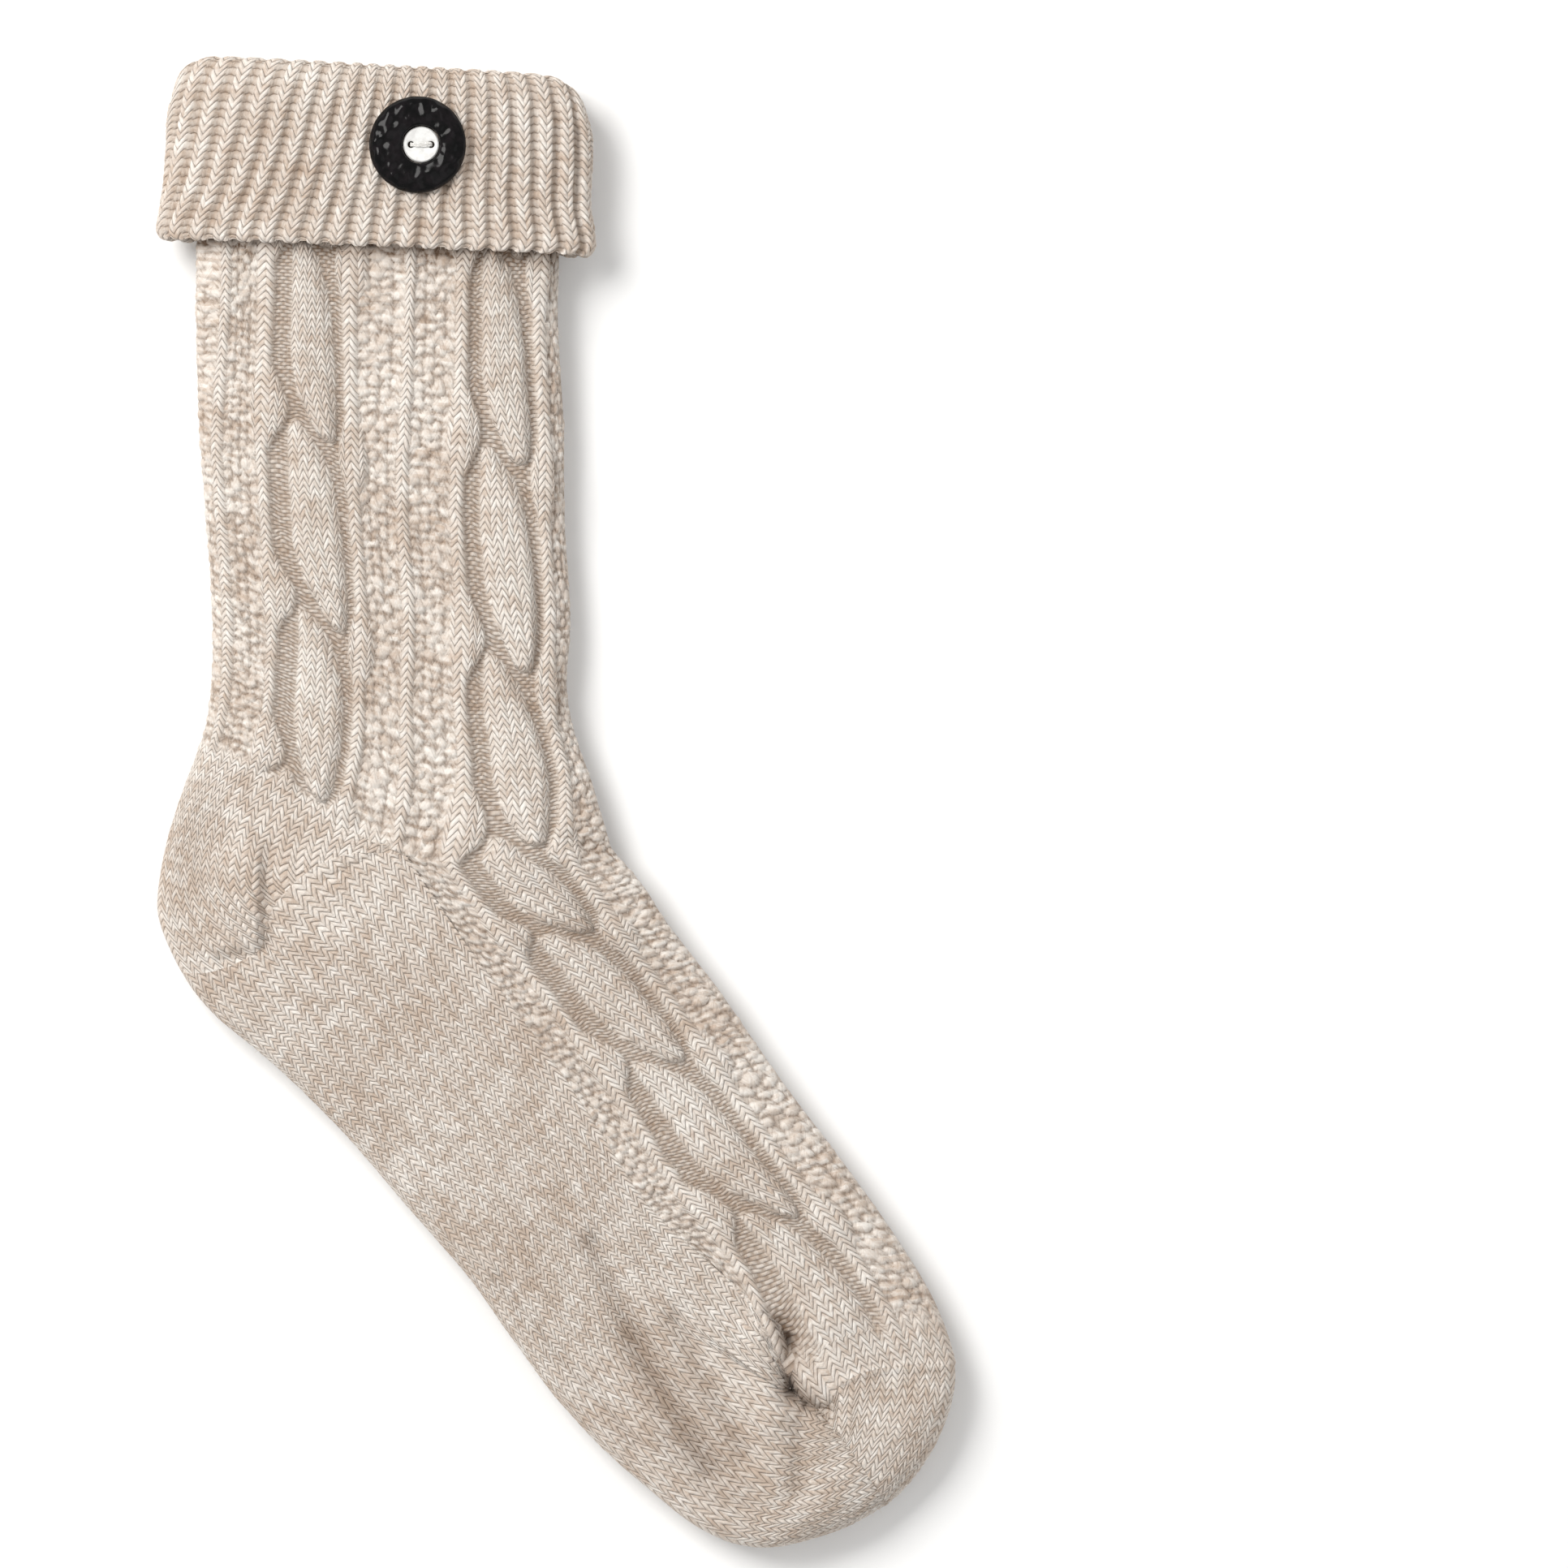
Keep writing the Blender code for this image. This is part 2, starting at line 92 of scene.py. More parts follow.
FOLDS = (
    ("toe_crease_start",   52.0, -126.0,  57.0, -132.5,  1.6, 1.8),
    ("toe_crease_upper",   55.6, -129.5,  57.8, -145.0,  2.8, 3.4),
    ("toe_crease_lower",   59.5, -147.0,  67.0, -149.8,  2.6, 3.2),
    ("toe_roll",           49.5, -131.0,  54.2, -150.0, -1.9, 4.6),
    ("sole_fold",          21.0, -134.0,  41.0, -164.0,  1.3, 6.5),
    ("sole_fold_low",      28.0, -160.0,  46.0, -172.0,  0.7, 5.0),
    ("ankle_crease",        4.0,   -9.0,  13.5,  -12.0,  1.6, 3.4),
    ("instep_hollow",       0.0,  -20.0,  24.0,  -44.0,  0.8, 7.0),
    ("heel_cup_edge",     -71.0,  -11.5, -70.4,  -33.0,  1.25, 2.1),
    ("heel_cup_under",    -71.4,  -35.2, -82.0,  -38.4,  1.0, 2.0),
    ("toe_crease_core",    57.3, -132.5,  57.9, -144.5,  3.6, 1.5),
    ("toe_crease_bend",    57.9, -144.5,  62.0, -148.4,  3.2, 1.4),
    ("toe_crease_end",     62.0, -148.4,  66.4, -149.8,  2.2, 1.2),
    ("sole_furrow_a",       9.2, -108.9,  23.0, -138.9,  1.9, 3.2),
    ("sole_furrow_b",      23.0, -138.9,  38.2, -164.1,  1.9, 3.0),
    ("sole_furrow_c",      30.0, -128.0,  47.0, -160.0,  1.5, 3.0),
    ("toe_furrow",         60.5, -152.5,  60.0, -169.0,  1.5, 2.8),
    ("sole_edge_furrow",  -14.0, -118.0,  20.0, -158.0,  0.9, 2.4),
    ("gusset_line",       -57.0,  -19.0, -31.4,   -6.3,  0.5, 0.9),
    ("toe_mitre",          65.2, -150.1,  82.6, -173.7,  0.55, 1.1),
    ("toe_seam_a",         70.6, -142.6,  76.0, -140.6, -0.55, 0.9),
    ("toe_seam_b",         76.0, -140.6,  80.2, -139.6, -0.55, 0.9),
    ("toe_seam_c",         80.2, -139.6,  96.5, -138.9, -0.55, 0.9),
)
CUP_X, CUP_TOP, CUP_BOTTOM, CUP_RAISE = -73.0, -12.0, -37.5, 1.9

CUFF_Z, CUFF_CORNER, CUFF_CORNER_POW = 11.8, 4.5, 12
CUFF_COLUMNS = ("name", "y", "mid_x", "half_w", "up", "low", "flat", "corner", "tilt")
CUFF = (
    ("inside_low",    141.2, -43.8, 42.1,  5.3,  6.5, 6.5, 0.0,  0.000),
    ("inside_mid",    157.0, -43.6, 43.3,  5.3,  6.5, 6.5, 0.0, -0.020),
    ("inside_high",   174.0, -43.4, 44.6,  5.3,  6.5, 6.5, 1.0, -0.050),
    ("fold_in",       180.2, -43.4, 45.7,  6.3,  7.6, 5.4, 1.0, -0.055),
    ("fold_top",      182.6, -43.4, 48.2,  8.5, 10.0, 3.2, 1.0, -0.055),
    ("fold_out",      180.6, -43.4, 50.4, 10.7, 12.2, 1.0, 1.0, -0.055),
    ("flap_high",     174.0, -43.4, 51.8, 11.5, 13.0, 0.0, 1.0, -0.050),
    ("flap_a",        161.0, -43.4, 52.0, 11.6, 13.0, 0.0, 0.0, -0.048),
    ("flap_b",        150.0, -44.0, 52.2, 11.6, 13.0, 0.0, 0.0, -0.044),
    ("flap_low",      140.6, -44.3, 54.0, 11.9, 13.3, 0.0, 0.0, -0.040),
    ("hem_out",       137.6, -44.4, 53.4, 11.6, 13.0, 0.4, 0.0, -0.040),
    ("hem",           136.7, -44.4, 52.2, 10.7, 12.1, 1.2, 0.0, -0.040),
    ("hem_in",        137.6, -44.4, 51.2,  9.6, 11.0, 2.3, 0.0, -0.040),
    ("lining_low",    140.6, -44.3, 51.2,  9.2, 10.6, 2.7, 0.0, -0.040),
    ("lining_mid",    155.0, -43.7, 49.5,  8.9, 10.3, 2.7, 0.0, -0.046),
    ("lining_high",   172.0, -43.4, 49.0,  8.8, 10.2, 2.7, 1.0, -0.050),
    ("fold_under",    176.0, -43.4, 48.2,  8.4,  9.7, 3.2, 1.0, -0.052),
    ("wall_high",     172.0, -43.4, 47.3,  8.0,  9.2, 3.8, 1.0, -0.050),
    ("wall_mid",      157.0, -43.6, 46.0,  8.0,  9.2, 3.8, 0.0, -0.020),
    ("wall_low",      141.2, -43.8, 44.8,  8.0,  9.2, 3.8, 0.0,  0.000),
)

# ---------------------------------------------------------------- knitting chart
# Wales are counted from the back edge of the leg: -2 at the edge, 38 at the front edge. The chart repeats every 19 wales.
REPEAT = 19
COURSE = 1.86          # height of one course
STEEP = 1.2            # how many courses each arm of a stitch runs down
RIB_STEEP = 1.15       # the same in the wide stitches of the ribs
CUFF_COURSE = 2.05
WAVE = 0.08            # how far a purl bar bows, in courses
NU, NV = 6, 5          # mesh steps for each wale and each course on the upper side
NU_LOW = 2             # mesh steps for each wale on the underside
GORE = 20              # the wale where sole and instep meet
V_ANKLE, V_TOE = 76.0, 164.0
# Where each group of wales lies across the width, from -1 at the back edge to 1 at the front edge.
WALE_COLUMNS = ("wale", "across")
LEG_WALES = ((-2, -1.0), (0, -0.941), (1, -0.874), (5, -0.694), (6, -0.626), (8, -0.518), (12, -0.279), (14, -0.198),
             (15, -0.122), (19, 0.068), (20, 0.144), (24, 0.365), (25, 0.446), (27, 0.532), (31, 0.779), (33, 0.856),
             (34, 0.923), (38, 1.0))
TOP_WALES = ((-2, -1.0), (0, -0.857), (1, -0.794), (5, -0.655), (6, -0.555), (8, -0.462), (14, -0.185), (15, -0.095),
             (19, 0.161), (20, 0.224), (24, 0.444), (25, 0.520), (27, 0.585), (31, 0.779), (33, 0.858), (34, 0.935), (38, 1.0))
FOOT_WALES = ((-2, -1.0), (20, 0.05), (24, 0.199), (25, 0.276), (27, 0.382), (31, 0.617), (33, 0.710), (34, 0.787),
              (38, 1.0))
# The lens cable swells and narrows; courses where each new lens starts.
LENS_STARTS = (0, 25, 50, 74, 91, 115, 141, 166)


# ---------------------------------------------------------------- small tools
def smooth01(t):
    t = np.clip(t, 0.0, 1.0)
    return t * t * (3 - 2 * t)


def spow(v, p):
    return np.sign(v) * np.abs(v) ** p


def spline(xk, yk, x):
    """Natural cubic spline through the points (xk, yk); yk may have further axes."""
    xk = np.asarray(xk, float)
    yk = np.asarray(yk, float)
    n = len(xk)
    h = np.diff(xk)
    shape = yk.shape[1:]
    y = yk.reshape(n, -1)
    A = np.zeros((n, n))
    r = np.zeros((n, y.shape[1]))
    A[0, 0] = A[-1, -1] = 1.0
    for i in range(1, n - 1):
        A[i, i - 1], A[i, i], A[i, i + 1] = h[i - 1], 2 * (h[i - 1] + h[i]), h[i]
        r[i] = 6 * ((y[i + 1] - y[i]) / h[i] - (y[i] - y[i - 1]) / h[i - 1])
    m = np.linalg.solve(A, r)
    x = np.asarray(x, float)
    xs = x.ravel()
    i = np.clip(np.searchsorted(xk, xs) - 1, 0, n - 2)
    hi = h[i][:, None]
    a = (xk[i + 1] - xs)[:, None]
    b = (xs - xk[i])[:, None]
    out = (m[i] * a ** 3 + m[i + 1] * b ** 3) / (6 * hi) + (y[i] / hi - m[i] * hi / 6) * a \
        + (y[i + 1] / hi - m[i + 1] * hi / 6) * b
    return out.reshape(x.shape + shape)


def tight(xk, yk, x):
    """Straight-line interpolation of points with further axes."""
    yk = np.asarray(yk, float)
    cols = [np.interp(x, xk, yk[:, j]) for j in range(yk.shape[1])]
    return np.stack(cols, -1)


def pic(x, y):
    """Drawing coordinates of a point given on the flat layout grid of 0.2 mm steps."""
    return np.stack([(np.asarray(x, float) - 684.0) * 0.2, (989.5 - np.asarray(y, float)) * 0.2], -1)


# ---------------------------------------------------------------- the flat sock's skin
ROWS = np.array([r[1:] for r in SECTIONS], float)


def section(t):
    """Catmull-Rom through the section table; t may be an array."""
    n = len(ROWS)
    t = np.clip(np.asarray(t, float), 0, n - 1 - 1e-7)
    i = np.minimum(t.astype(int), n - 2)
    f = (t - i)[..., None]
    p0, p1, p2, p3 = (ROWS[np.clip(i + k, 0, n - 1)] for k in (-1, 0, 1, 2))
    v = 0.5 * (2 * p1 + (p2 - p0) * f + (2 * p0 - 5 * p1 + 4 * p2 - p3) * f ** 2
               + (3 * p1 - p0 - 3 * p2 + p3) * f ** 3)
    v[..., 5] = np.maximum(v[..., 5], 0.0)
    return v


T_STEPS = np.linspace(0, len(ROWS) - 1 - 1e-6, 28 * 6 + 1)
T_TABLE = section(T_STEPS)
T_FINE = np.linspace(0, len(ROWS) - 1 - 1e-6, 28 * 24 + 1)
EDGES = section(T_FINE)
BACK, FRONT = EDGES[:, 0:2], EDGES[:, 2:4]


def past(S, x, y):
    """How far a point lies past a section's line, towards the toe."""
    dx, dy = S[..., 2] - S[..., 0], S[..., 3] - S[..., 1]
    return ((x - S[..., 0]) * dy - (y - S[..., 1]) * dx) / np.hypot(dx, dy)


def locate(P):
    """Section position t and place across it (-1 back edge, 1 front edge) of points (N, 2)."""
    x, y = P[:, 0], P[:, 1]
    lo = np.zeros(len(P))
    hi = np.zeros(len(P))
    step = T_STEPS[1]
    for s in range(0, len(P), 20000):
        d = past(T_TABLE[None], x[s:s + 20000, None], y[s:s + 20000, None])
        neg = d < 0
        j = np.where(neg.any(1), neg.argmax(1), len(T_STEPS) - 1)
        j = np.maximum(j, 1)
        hi[s:s + 20000] = T_STEPS[j]
        lo[s:s + 20000] = T_STEPS[j - 1]
    for _ in range(14):
        mid = (lo + hi) / 2
        d = past(section(mid), x, y)
        lo = np.where(d >= 0, mid, lo)
        hi = np.where(d >= 0, hi, mid)
    t = (lo + hi) / 2
    S = section(t)
    dx, dy = S[:, 2] - S[:, 0], S[:, 3] - S[:, 1]
    L2 = dx * dx + dy * dy
    q = 2 * ((x - S[:, 0]) * dx + (y - S[:, 1]) * dy) / L2 - 1
    return t, np.clip(q, -1, 1), S


def fold_height(x, y):
    front = smooth01((CUP_X + 1.4 - x) / 2.4)
    fade = 1.0 - smooth01((CUP_X - 4.0 - x) / 16.0)
    band = smooth01((CUP_TOP + 3 - y) / 6.0) * smooth01((y - CUP_BOTTOM + 2.0) / 5.0)
    h = CUP_RAISE * front * fade * band
    chains = {}
    for name, x0, y0, x1, y1, depth, half in FOLDS:
        dx, dy = x1 - x0, y1 - y0
        s = np.clip(((x - x0) * dx + (y - y0) * dy) / (dx * dx + dy * dy), 0, 1)
        d = np.hypot(x - x0 - s * dx, y - y0 - s * dy)
        one = -depth * np.exp(-(d / half) ** 2)
        if name[-2] == "_":     # lettered pieces are one line and don't add up where they meet
            key = name[:-2]
            old = chains.get(key)
            chains[key] = one if old is None else np.where(np.abs(one) > np.abs(old), one, old)
        else:
            h = h + one
    for one in chains.values():
        h = h + one
    return h


def skin(XY, upper, inset=INSET):
    """Points of the outer skin over the plan positions XY (R, C, 2)."""
    flat = XY.reshape(-1, 2)
    t, q, S = locate(flat)
    half, rise = S[:, 4], S[:, 5]
    zc = rise + half
    full = np.maximum(1 - np.abs(q) ** POW_X, 0)
    if upper:
        s = np.sqrt(full)
        z = zc + (half - inset) * full ** (1 / POW_Z)
        z = z + fold_height(flat[:, 0], flat[:, 1]) * np.minimum(1, s * 1.6) * np.minimum(1, half / 8.0)
    else:
        z = np.maximum(rise + inset, zc - (half * LOW_FULL - inset) * full ** (1 / POW_Z))
    return np.concatenate([XY, z.reshape(XY.shape[:2])[..., None]], -1), q.reshape(XY.shape[:2])


# ---------------------------------------------------------------- where wales and courses run
_qq = np.sin(np.linspace(-math.pi / 2, math.pi / 2, 2001))
_zz = 8.3 * np.maximum(1 - np.abs(_qq) ** POW_X, 0) ** (1 / POW_Z)
_arc = np.concatenate([[0], np.cumsum(np.hypot(np.diff(45.0 * _qq), np.diff(_zz)))])


def across(wale, knots):
    """Place across the width of a wale: even along the curved skin within each group of the table."""
    wk = [k[0] for k in knots]
    sk = np.interp([k[1] for k in knots], _qq, _arc)
    return np.interp(np.interp(wale, wk, sk), _arc, _qq)


def edge_at_y(edge, y):
    part = edge[: 24 * 9]
    return np.interp(y, part[::-1, 1], part[::-1, 0])


def nearest_t(edge, point):
    return int(np.argmin(np.hypot(edge[:, 0] - point[0], edge[:, 1] - point[1])))


def edge_run(edge, start, end):
    """Function of 0..1 giving points evenly along a silhouette edge between two places."""
    a, b = nearest_t(edge, start), nearest_t(edge, end)
    part = edge[a:b + 1] if a <= b else edge[b:a + 1][::-1]
    s = np.concatenate([[0], np.cumsum(np.hypot(*np.diff(part, axis=0).T))])
    s = s / s[-1]
    return lambda f: np.stack([np.interp(f, s, part[:, 0]), np.interp(f, s, part[:, 1])], -1)


# Height on the layout grid of the leg's courses at five places across the width.
LEG_COURSE_COLUMNS = ("course", "at_back", "at_quarter", "at_middle", "at_three_quarters", "at_front")
LEG_COURSES = ((0, 290, 296, 302, 307, 312), (25, 512, 528, 545, 558, 568), (50, 728, 760, 790, 812, 826),
               (76, 925, 973, 1050, 1060, 1035))
LEG_TOP = 285.0


def leg_heights(v, q):
    """Layout height of course v (R,) at place q (C,) or (R, C)."""
    vk = [r[0] for r in LEG_COURSES]
    at = (-1.0, -0.5, 0.05, 0.5, 1.0)
    if q.ndim == 1:
        q = np.broadcast_to(q, (len(v), len(q)))
    five = spline(vk, np.array([r[1:] for r in LEG_COURSES], float), v)   # (R, 5)
    out = np.empty(q.shape)
    for i in range(len(v)):
        out[i] = spline(at, five[i], q[i])
    return out


def leg_across(v, wale):
    w = smooth01((v - 60) / 25.0)[:, None]
    top = (1 - smooth01((v - 6) / 28.0))[:, None]
    leg = across(wale, LEG_WALES)[None] * (1 - top) + across(wale, TOP_WALES)[None] * top
    return (1 - w) * leg + w * across(wale, FOOT_WALES)[None]


def leg_point(q, py):
    y = (989.5 - py) * 0.2
    bx, fx = edge_at_y(BACK, y), edge_at_y(FRONT, y)
    return np.stack([bx + (q + 1) / 2 * (fx - bx), y], -1)


def leg_plan(wale, nv):
    """Plan positions and course numbers of the leg, from the cuff down to the ankle course."""
    v = np.arange(0, int(V_ANKLE * nv) + 1) / nv
    q = leg_across(v, wale)
    py = leg_heights(v, q)
    XY = leg_point(q, py)
    V = np.broadcast_to(v[:, None], q.shape).copy()
    # a band that carries on under the cuff
    n = 3 * nv
    f = (np.arange(n) / n)[:, None]
    py0 = py[0][None]
    band = LEG_TOP + (py0 - LEG_TOP) * f
    vb = (band - py0) / 8.9
    qb = np.broadcast_to(q[0][None], band.shape)
    XY = np.concatenate([leg_point(qb, band), XY])
    V = np.concatenate([vb, V])
    return XY, V


SOLE_END = pic([905, 940, 975, 1008, 985, 975, 963], [1904, 1852, 1795, 1738, 1729, 1700, 1633])
SOLE_END_WALES = (-2, 3, 8, 13, 14.5, 16.5, 20)
STEP_END = pic([963, 975, 985, 1008, 1022, 1035, 1060, 1085, 1140, 1177],
               [1633, 1700, 1729, 1738, 1730, 1705, 1692, 1686, 1680, 1683])
STEP_END_WALES = (20, 22, 23.4, 25, 26, 27.2, 29, 31, 35, 38)
BACK_RUN = edge_run(BACK, pic(318, 1296), pic(905, 1904))
FRONT_RUN = edge_run(FRONT, pic(745, 1035), pic(1177, 1683))


def gore_line(v):
    return spline((76, 98, 121.5, 131, 148, 164), pic([505, 618, 740, 784, 871, 963], [1055, 1220, 1395, 1465, 1553, 1633]), v)


def foot_ends(v):
    B = BACK_RUN(np.interp(v, (76, 98, 121.5, 143, 164), (0, 0.19, 0.44, 0.665, 1.0)))
    F = FRONT_RUN(np.interp(v, (76, 98, 121.5, 143, 164), (0, 0.20, 0.44, 0.72, 1.0)))
    return B, gore_line(v), F


def sole_plan(wale, nv):
    v = np.arange(int(V_ANKLE * nv), int(V_TOE * nv) + 1) / nv
    B, G, _ = foot_ends(v)
    lam = (across(wale, FOOT_WALES) + 1) / 1.05
    straight = B[:, None] + lam[None, :, None] * (G - B)[:, None]
    end = tight(SOLE_END_WALES, SOLE_END, wale)
    d1 = end - straight[-1]
    s1 = smooth01((v - 140) / 24)[:, None, None] ** 1.6
    XY = straight + s1 * d1[None]
    return XY, np.broadcast_to(v[:, None], XY.shape[:2]).copy()


def step_plan(wale, nv, first_row):
    """The instep, from the ankle course (given as first_row) to the toe seam."""
    v = np.arange(int(V_ANKLE * nv), int(V_TOE * nv) + 1) / nv
    _, G, F = foot_ends(v)
    mu = (across(wale, FOOT_WALES) - 0.05) / 0.95
    G = G.copy()
    straight = G[:, None] + mu[None, :, None] * (F - G)[:, None]
    end = tight(STEP_END_WALES, STEP_END, wale)
    s0 = (1 - smooth01((v - V_ANKLE) / 30))[:, None, None]
    s1 = smooth01((v - 136) / 28)[:, None, None] ** 1.6
    XY = straight + s0 * (first_row - straight[0])[None] + s1 * (end - straight[-1])[None]
    return XY, np.broadcast_to(v[:, None], XY.shape[:2]).copy()


MITRE_WALES = (-2, 0, 3, 6, 9, 14, 20)
MITRE = pic([222, 250, 290, 322, 333, 400, 505], [1199, 1199, 1188, 1165, 1128, 1062, 1055])
HEEL_MID_WALES = (-2, 3, 9, 14, 20)
HEEL_MID = pic([198, 240, 312, 410, 505], [1060, 1060, 1062, 1032, 1055])


def course_count(XY):
    """Courses passed along each column of a patch."""
    step = np.hypot(*np.moveaxis(np.diff(XY, axis=0), -1, 0))
    return np.concatenate([np.zeros((1, XY.shape[1])), np.cumsum(step, 0)]) / COURSE


def heel_plan(wale, first_row, rows):
    """Upper heel: from the ankle course to the mitre of the heel cup."""
    f = np.linspace(0, 1, rows)[:, None, None]
    M = spline(MITRE_WALES, MITRE, wale)
    C = spline(HEEL_MID_WALES, HEEL_MID, wale)
    A = first_row
    ctrl = 2 * C - (A + M) / 2
    XY = (1 - f) ** 2 * A[None] + 2 * f * (1 - f) * ctrl[None] + f ** 2 * M[None]
    edge = edge_run(BACK, A[0], M[0])(f[:, 0, 0])
    fade = np.clip(1 - (wale + 2) / 22.0, 0, 1) ** 2
    XY = XY + (edge - XY[:, 0])[:, None] * fade[None, :, None]
    XY[-1] = M + (edge[-1] - M[0])[None] * fade[:, None]
    return XY, V_ANKLE + course_count(XY)


def heel_low_plan(wale, mitre_row, last_row, rows):
    """Lower heel: from the mitre to the first course of the sole."""
    f = np.linspace(0, 1, rows)[:, None, None]
    XY = (1 - f) * mitre_row[None] + f * last_row[None]
    edge = edge_run(BACK, mitre_row[0], last_row[0])(f[:, 0, 0])
    fade = np.clip(1 - (wale + 2) / 22.0, 0, 1) ** 2
    XY = XY + (edge - XY[:, 0])[:, None] * fade[None, :, None]
    n = course_count(XY)
    return XY, V_ANKLE - (n[-1:] - n)


TOE_MITRE_WALES = (-2, 3, 7, 11, 13)
TOE_MITRE = pic([1097, 1082, 1055, 1030, 1010], [1858, 1838, 1795, 1762, 1740])
TOE_WALES = 13


def toe_low_plan(wale, first_row, rows):
    """Sole side of the toe, its wales turned across the tip."""
    f = np.linspace(0, 1, rows)[:, None, None]
    M = spline(TOE_MITRE_WALES, TOE_MITRE, wale)
    XY = (1 - f) * first_row[None] + f * M[None]
    edge = edge_run(BACK, first_row[0], M[0])(f[:, 0, 0])
    fade = np.clip(1 - (wale + 2) / 15.0, 0, 1) ** 2
    XY = XY + (edge - XY[:, 0])[:, None] * fade[None, :, None]
    return XY, V_TOE + course_count(XY)


def toe_high_plan(wale, first_row, mitre, rows):
    """Instep side of the toe; wale runs 0 at the pouch to TOE_WALES at the edge."""
    f = np.linspace(0, 1, rows)[:, None, None]
    XY = (1 - f) * first_row[None] + f * mitre[None]
    tip = np.array([(84.2 + 86.2) / 2, (-171.3 - 169.2) / 2])
    a = edge_run(FRONT, first_row[-1], FRONT[-1])
    b = edge_run(BACK, BACK[-1], mitre[-1])
    pts = np.concatenate([a(np.linspace(0, 1, 200)), b(np.linspace(0, 1, 100))[1:]])
    s = np.concatenate([[0], np.cumsum(np.hypot(*np.diff(pts, axis=0).T))])
    s /= s[-1]
    edge = np.stack([np.interp(f[:, 0, 0], s, pts[:, 0]), np.interp(f[:, 0, 0], s, pts[:, 1])], -1)
    w = np.clip(wale / TOE_WALES, 0, 1) ** 1.5
    XY = XY + (edge - XY[:, -1])[:, None] * w[None, :, None]
    return XY, 300.0 - course_count(XY)


# ---------------------------------------------------------------- stitch relief
def hash01(a, b, c=0.0):
    x = np.sin(a * 127.1 + b * 311.7 + c * 74.7) * 43758.5453
    return x - np.floor(x)


def soft_noise(x, y, seed=0.0):
    i, j = np.floor(x), np.floor(y)
    fx, fy = smooth01(x - i), smooth01(y - j)
    a, b = hash01(i, j, seed), hash01(i + 1, j, seed)
    c, d = hash01(i, j + 1, seed), hash01(i + 1, j + 1, seed)
    return (a * (1 - fx) + b * fx) * (1 - fy) + (c * (1 - fx) + d * fx) * fy


def arm(u, v, steep=STEEP):
    """Knit stitches: two slanting arms in each wale. Height 0..1."""
    fu = u - np.floor(u)
    t = np.abs(fu - 0.5) * 2
    p = v - steep * t
    q = p - np.floor(p)
    prof = np.sqrt(np.clip(1 - (2 * q - 1) ** 2, 0, 1)) ** 0.9
    env = 1 - 0.55 * t ** 5 - 0.38 * (1 - t) ** 4
    size = 0.82 + 0.34 * hash01(np.floor(u) * 2 + (fu > 0.5), np.floor(p))
    return prof * env * size


def rung(u, v):
    """Purl bars of the ribs, one to a course."""
    p = v + WAVE * np.cos(2 * math.pi * u)
    q = p - np.floor(p)
    size = 0.8 + 0.35 * hash01(np.floor(u + 0.5), np.floor(p), 5.0)
    return np.sqrt(np.clip(1 - (2 * q - 1) ** 2, 0, 1)) * (0.78 + 0.22 * np.cos(2 * math.pi * u)) * size


def beads(u, v):
    """Purl ground of the pattern: two staggered rows of small loops to a course."""
    row = np.floor(2 * v)
    q = 2 * v - row
    side = u + 0.5 * np.mod(row, 2)
    return np.sqrt(np.clip(1 - (2 * q - 1) ** 2, 0, 1)) * (0.62 + 0.38 * np.cos(2 * math.pi * side))


PEARL = 1.15           # height of one pearl of the moss stitch, in courses


def pebble(u, v):
    """Moss stitch: round pearls in offset rows with smaller, sunken loops between them."""
    w = v / PEARL + 0.35 * hash01(np.floor(u), 3.0 * np.ones_like(u), 2.0)
    cu, cv = np.floor(u), np.floor(w)
    best = np.zeros_like(u)
    for du in (-1, 0, 1):
        for dv in (-1, 0, 1):
            i, j = cu + du, cv + dv
            up = np.mod(i + j, 2) > 0.5
            r1, r2, r3 = hash01(i, j, 9.0), hash01(i, j, 4.0), hash01(i, j, 6.0)
            x = u - i - 0.5 - 0.42 * (r1 - 0.5)
            y = w - j - 0.5 - 0.46 * (r2 - 0.5)
            size = 0.82 + 0.36 * r3
            d2 = (x / (np.where(up, 0.62, 0.48) * size)) ** 2 + (y / (np.where(up, 0.60, 0.42) * size)) ** 2
            dome = np.sqrt(np.clip(1 - d2, 0, 1)) * np.where(up, 0.80 + 0.40 * r3, 0.30 + 0.35 * r3)
            best = np.maximum(best, dome)
    return best, best > 0


def bump_at(f, half=0.28):
    d = np.abs((f + 0.5) % 1 - 0.5)
    return np.where(d < half, 0.5 + 0.5 * np.cos(math.pi * np.minimum(d / half, 1)), 0.0)


def soft_between(s, lo, hi, w=0.30):
    return smooth01((s - lo) / w + 0.5) * (1 - smooth01((s - hi) / w + 0.5))


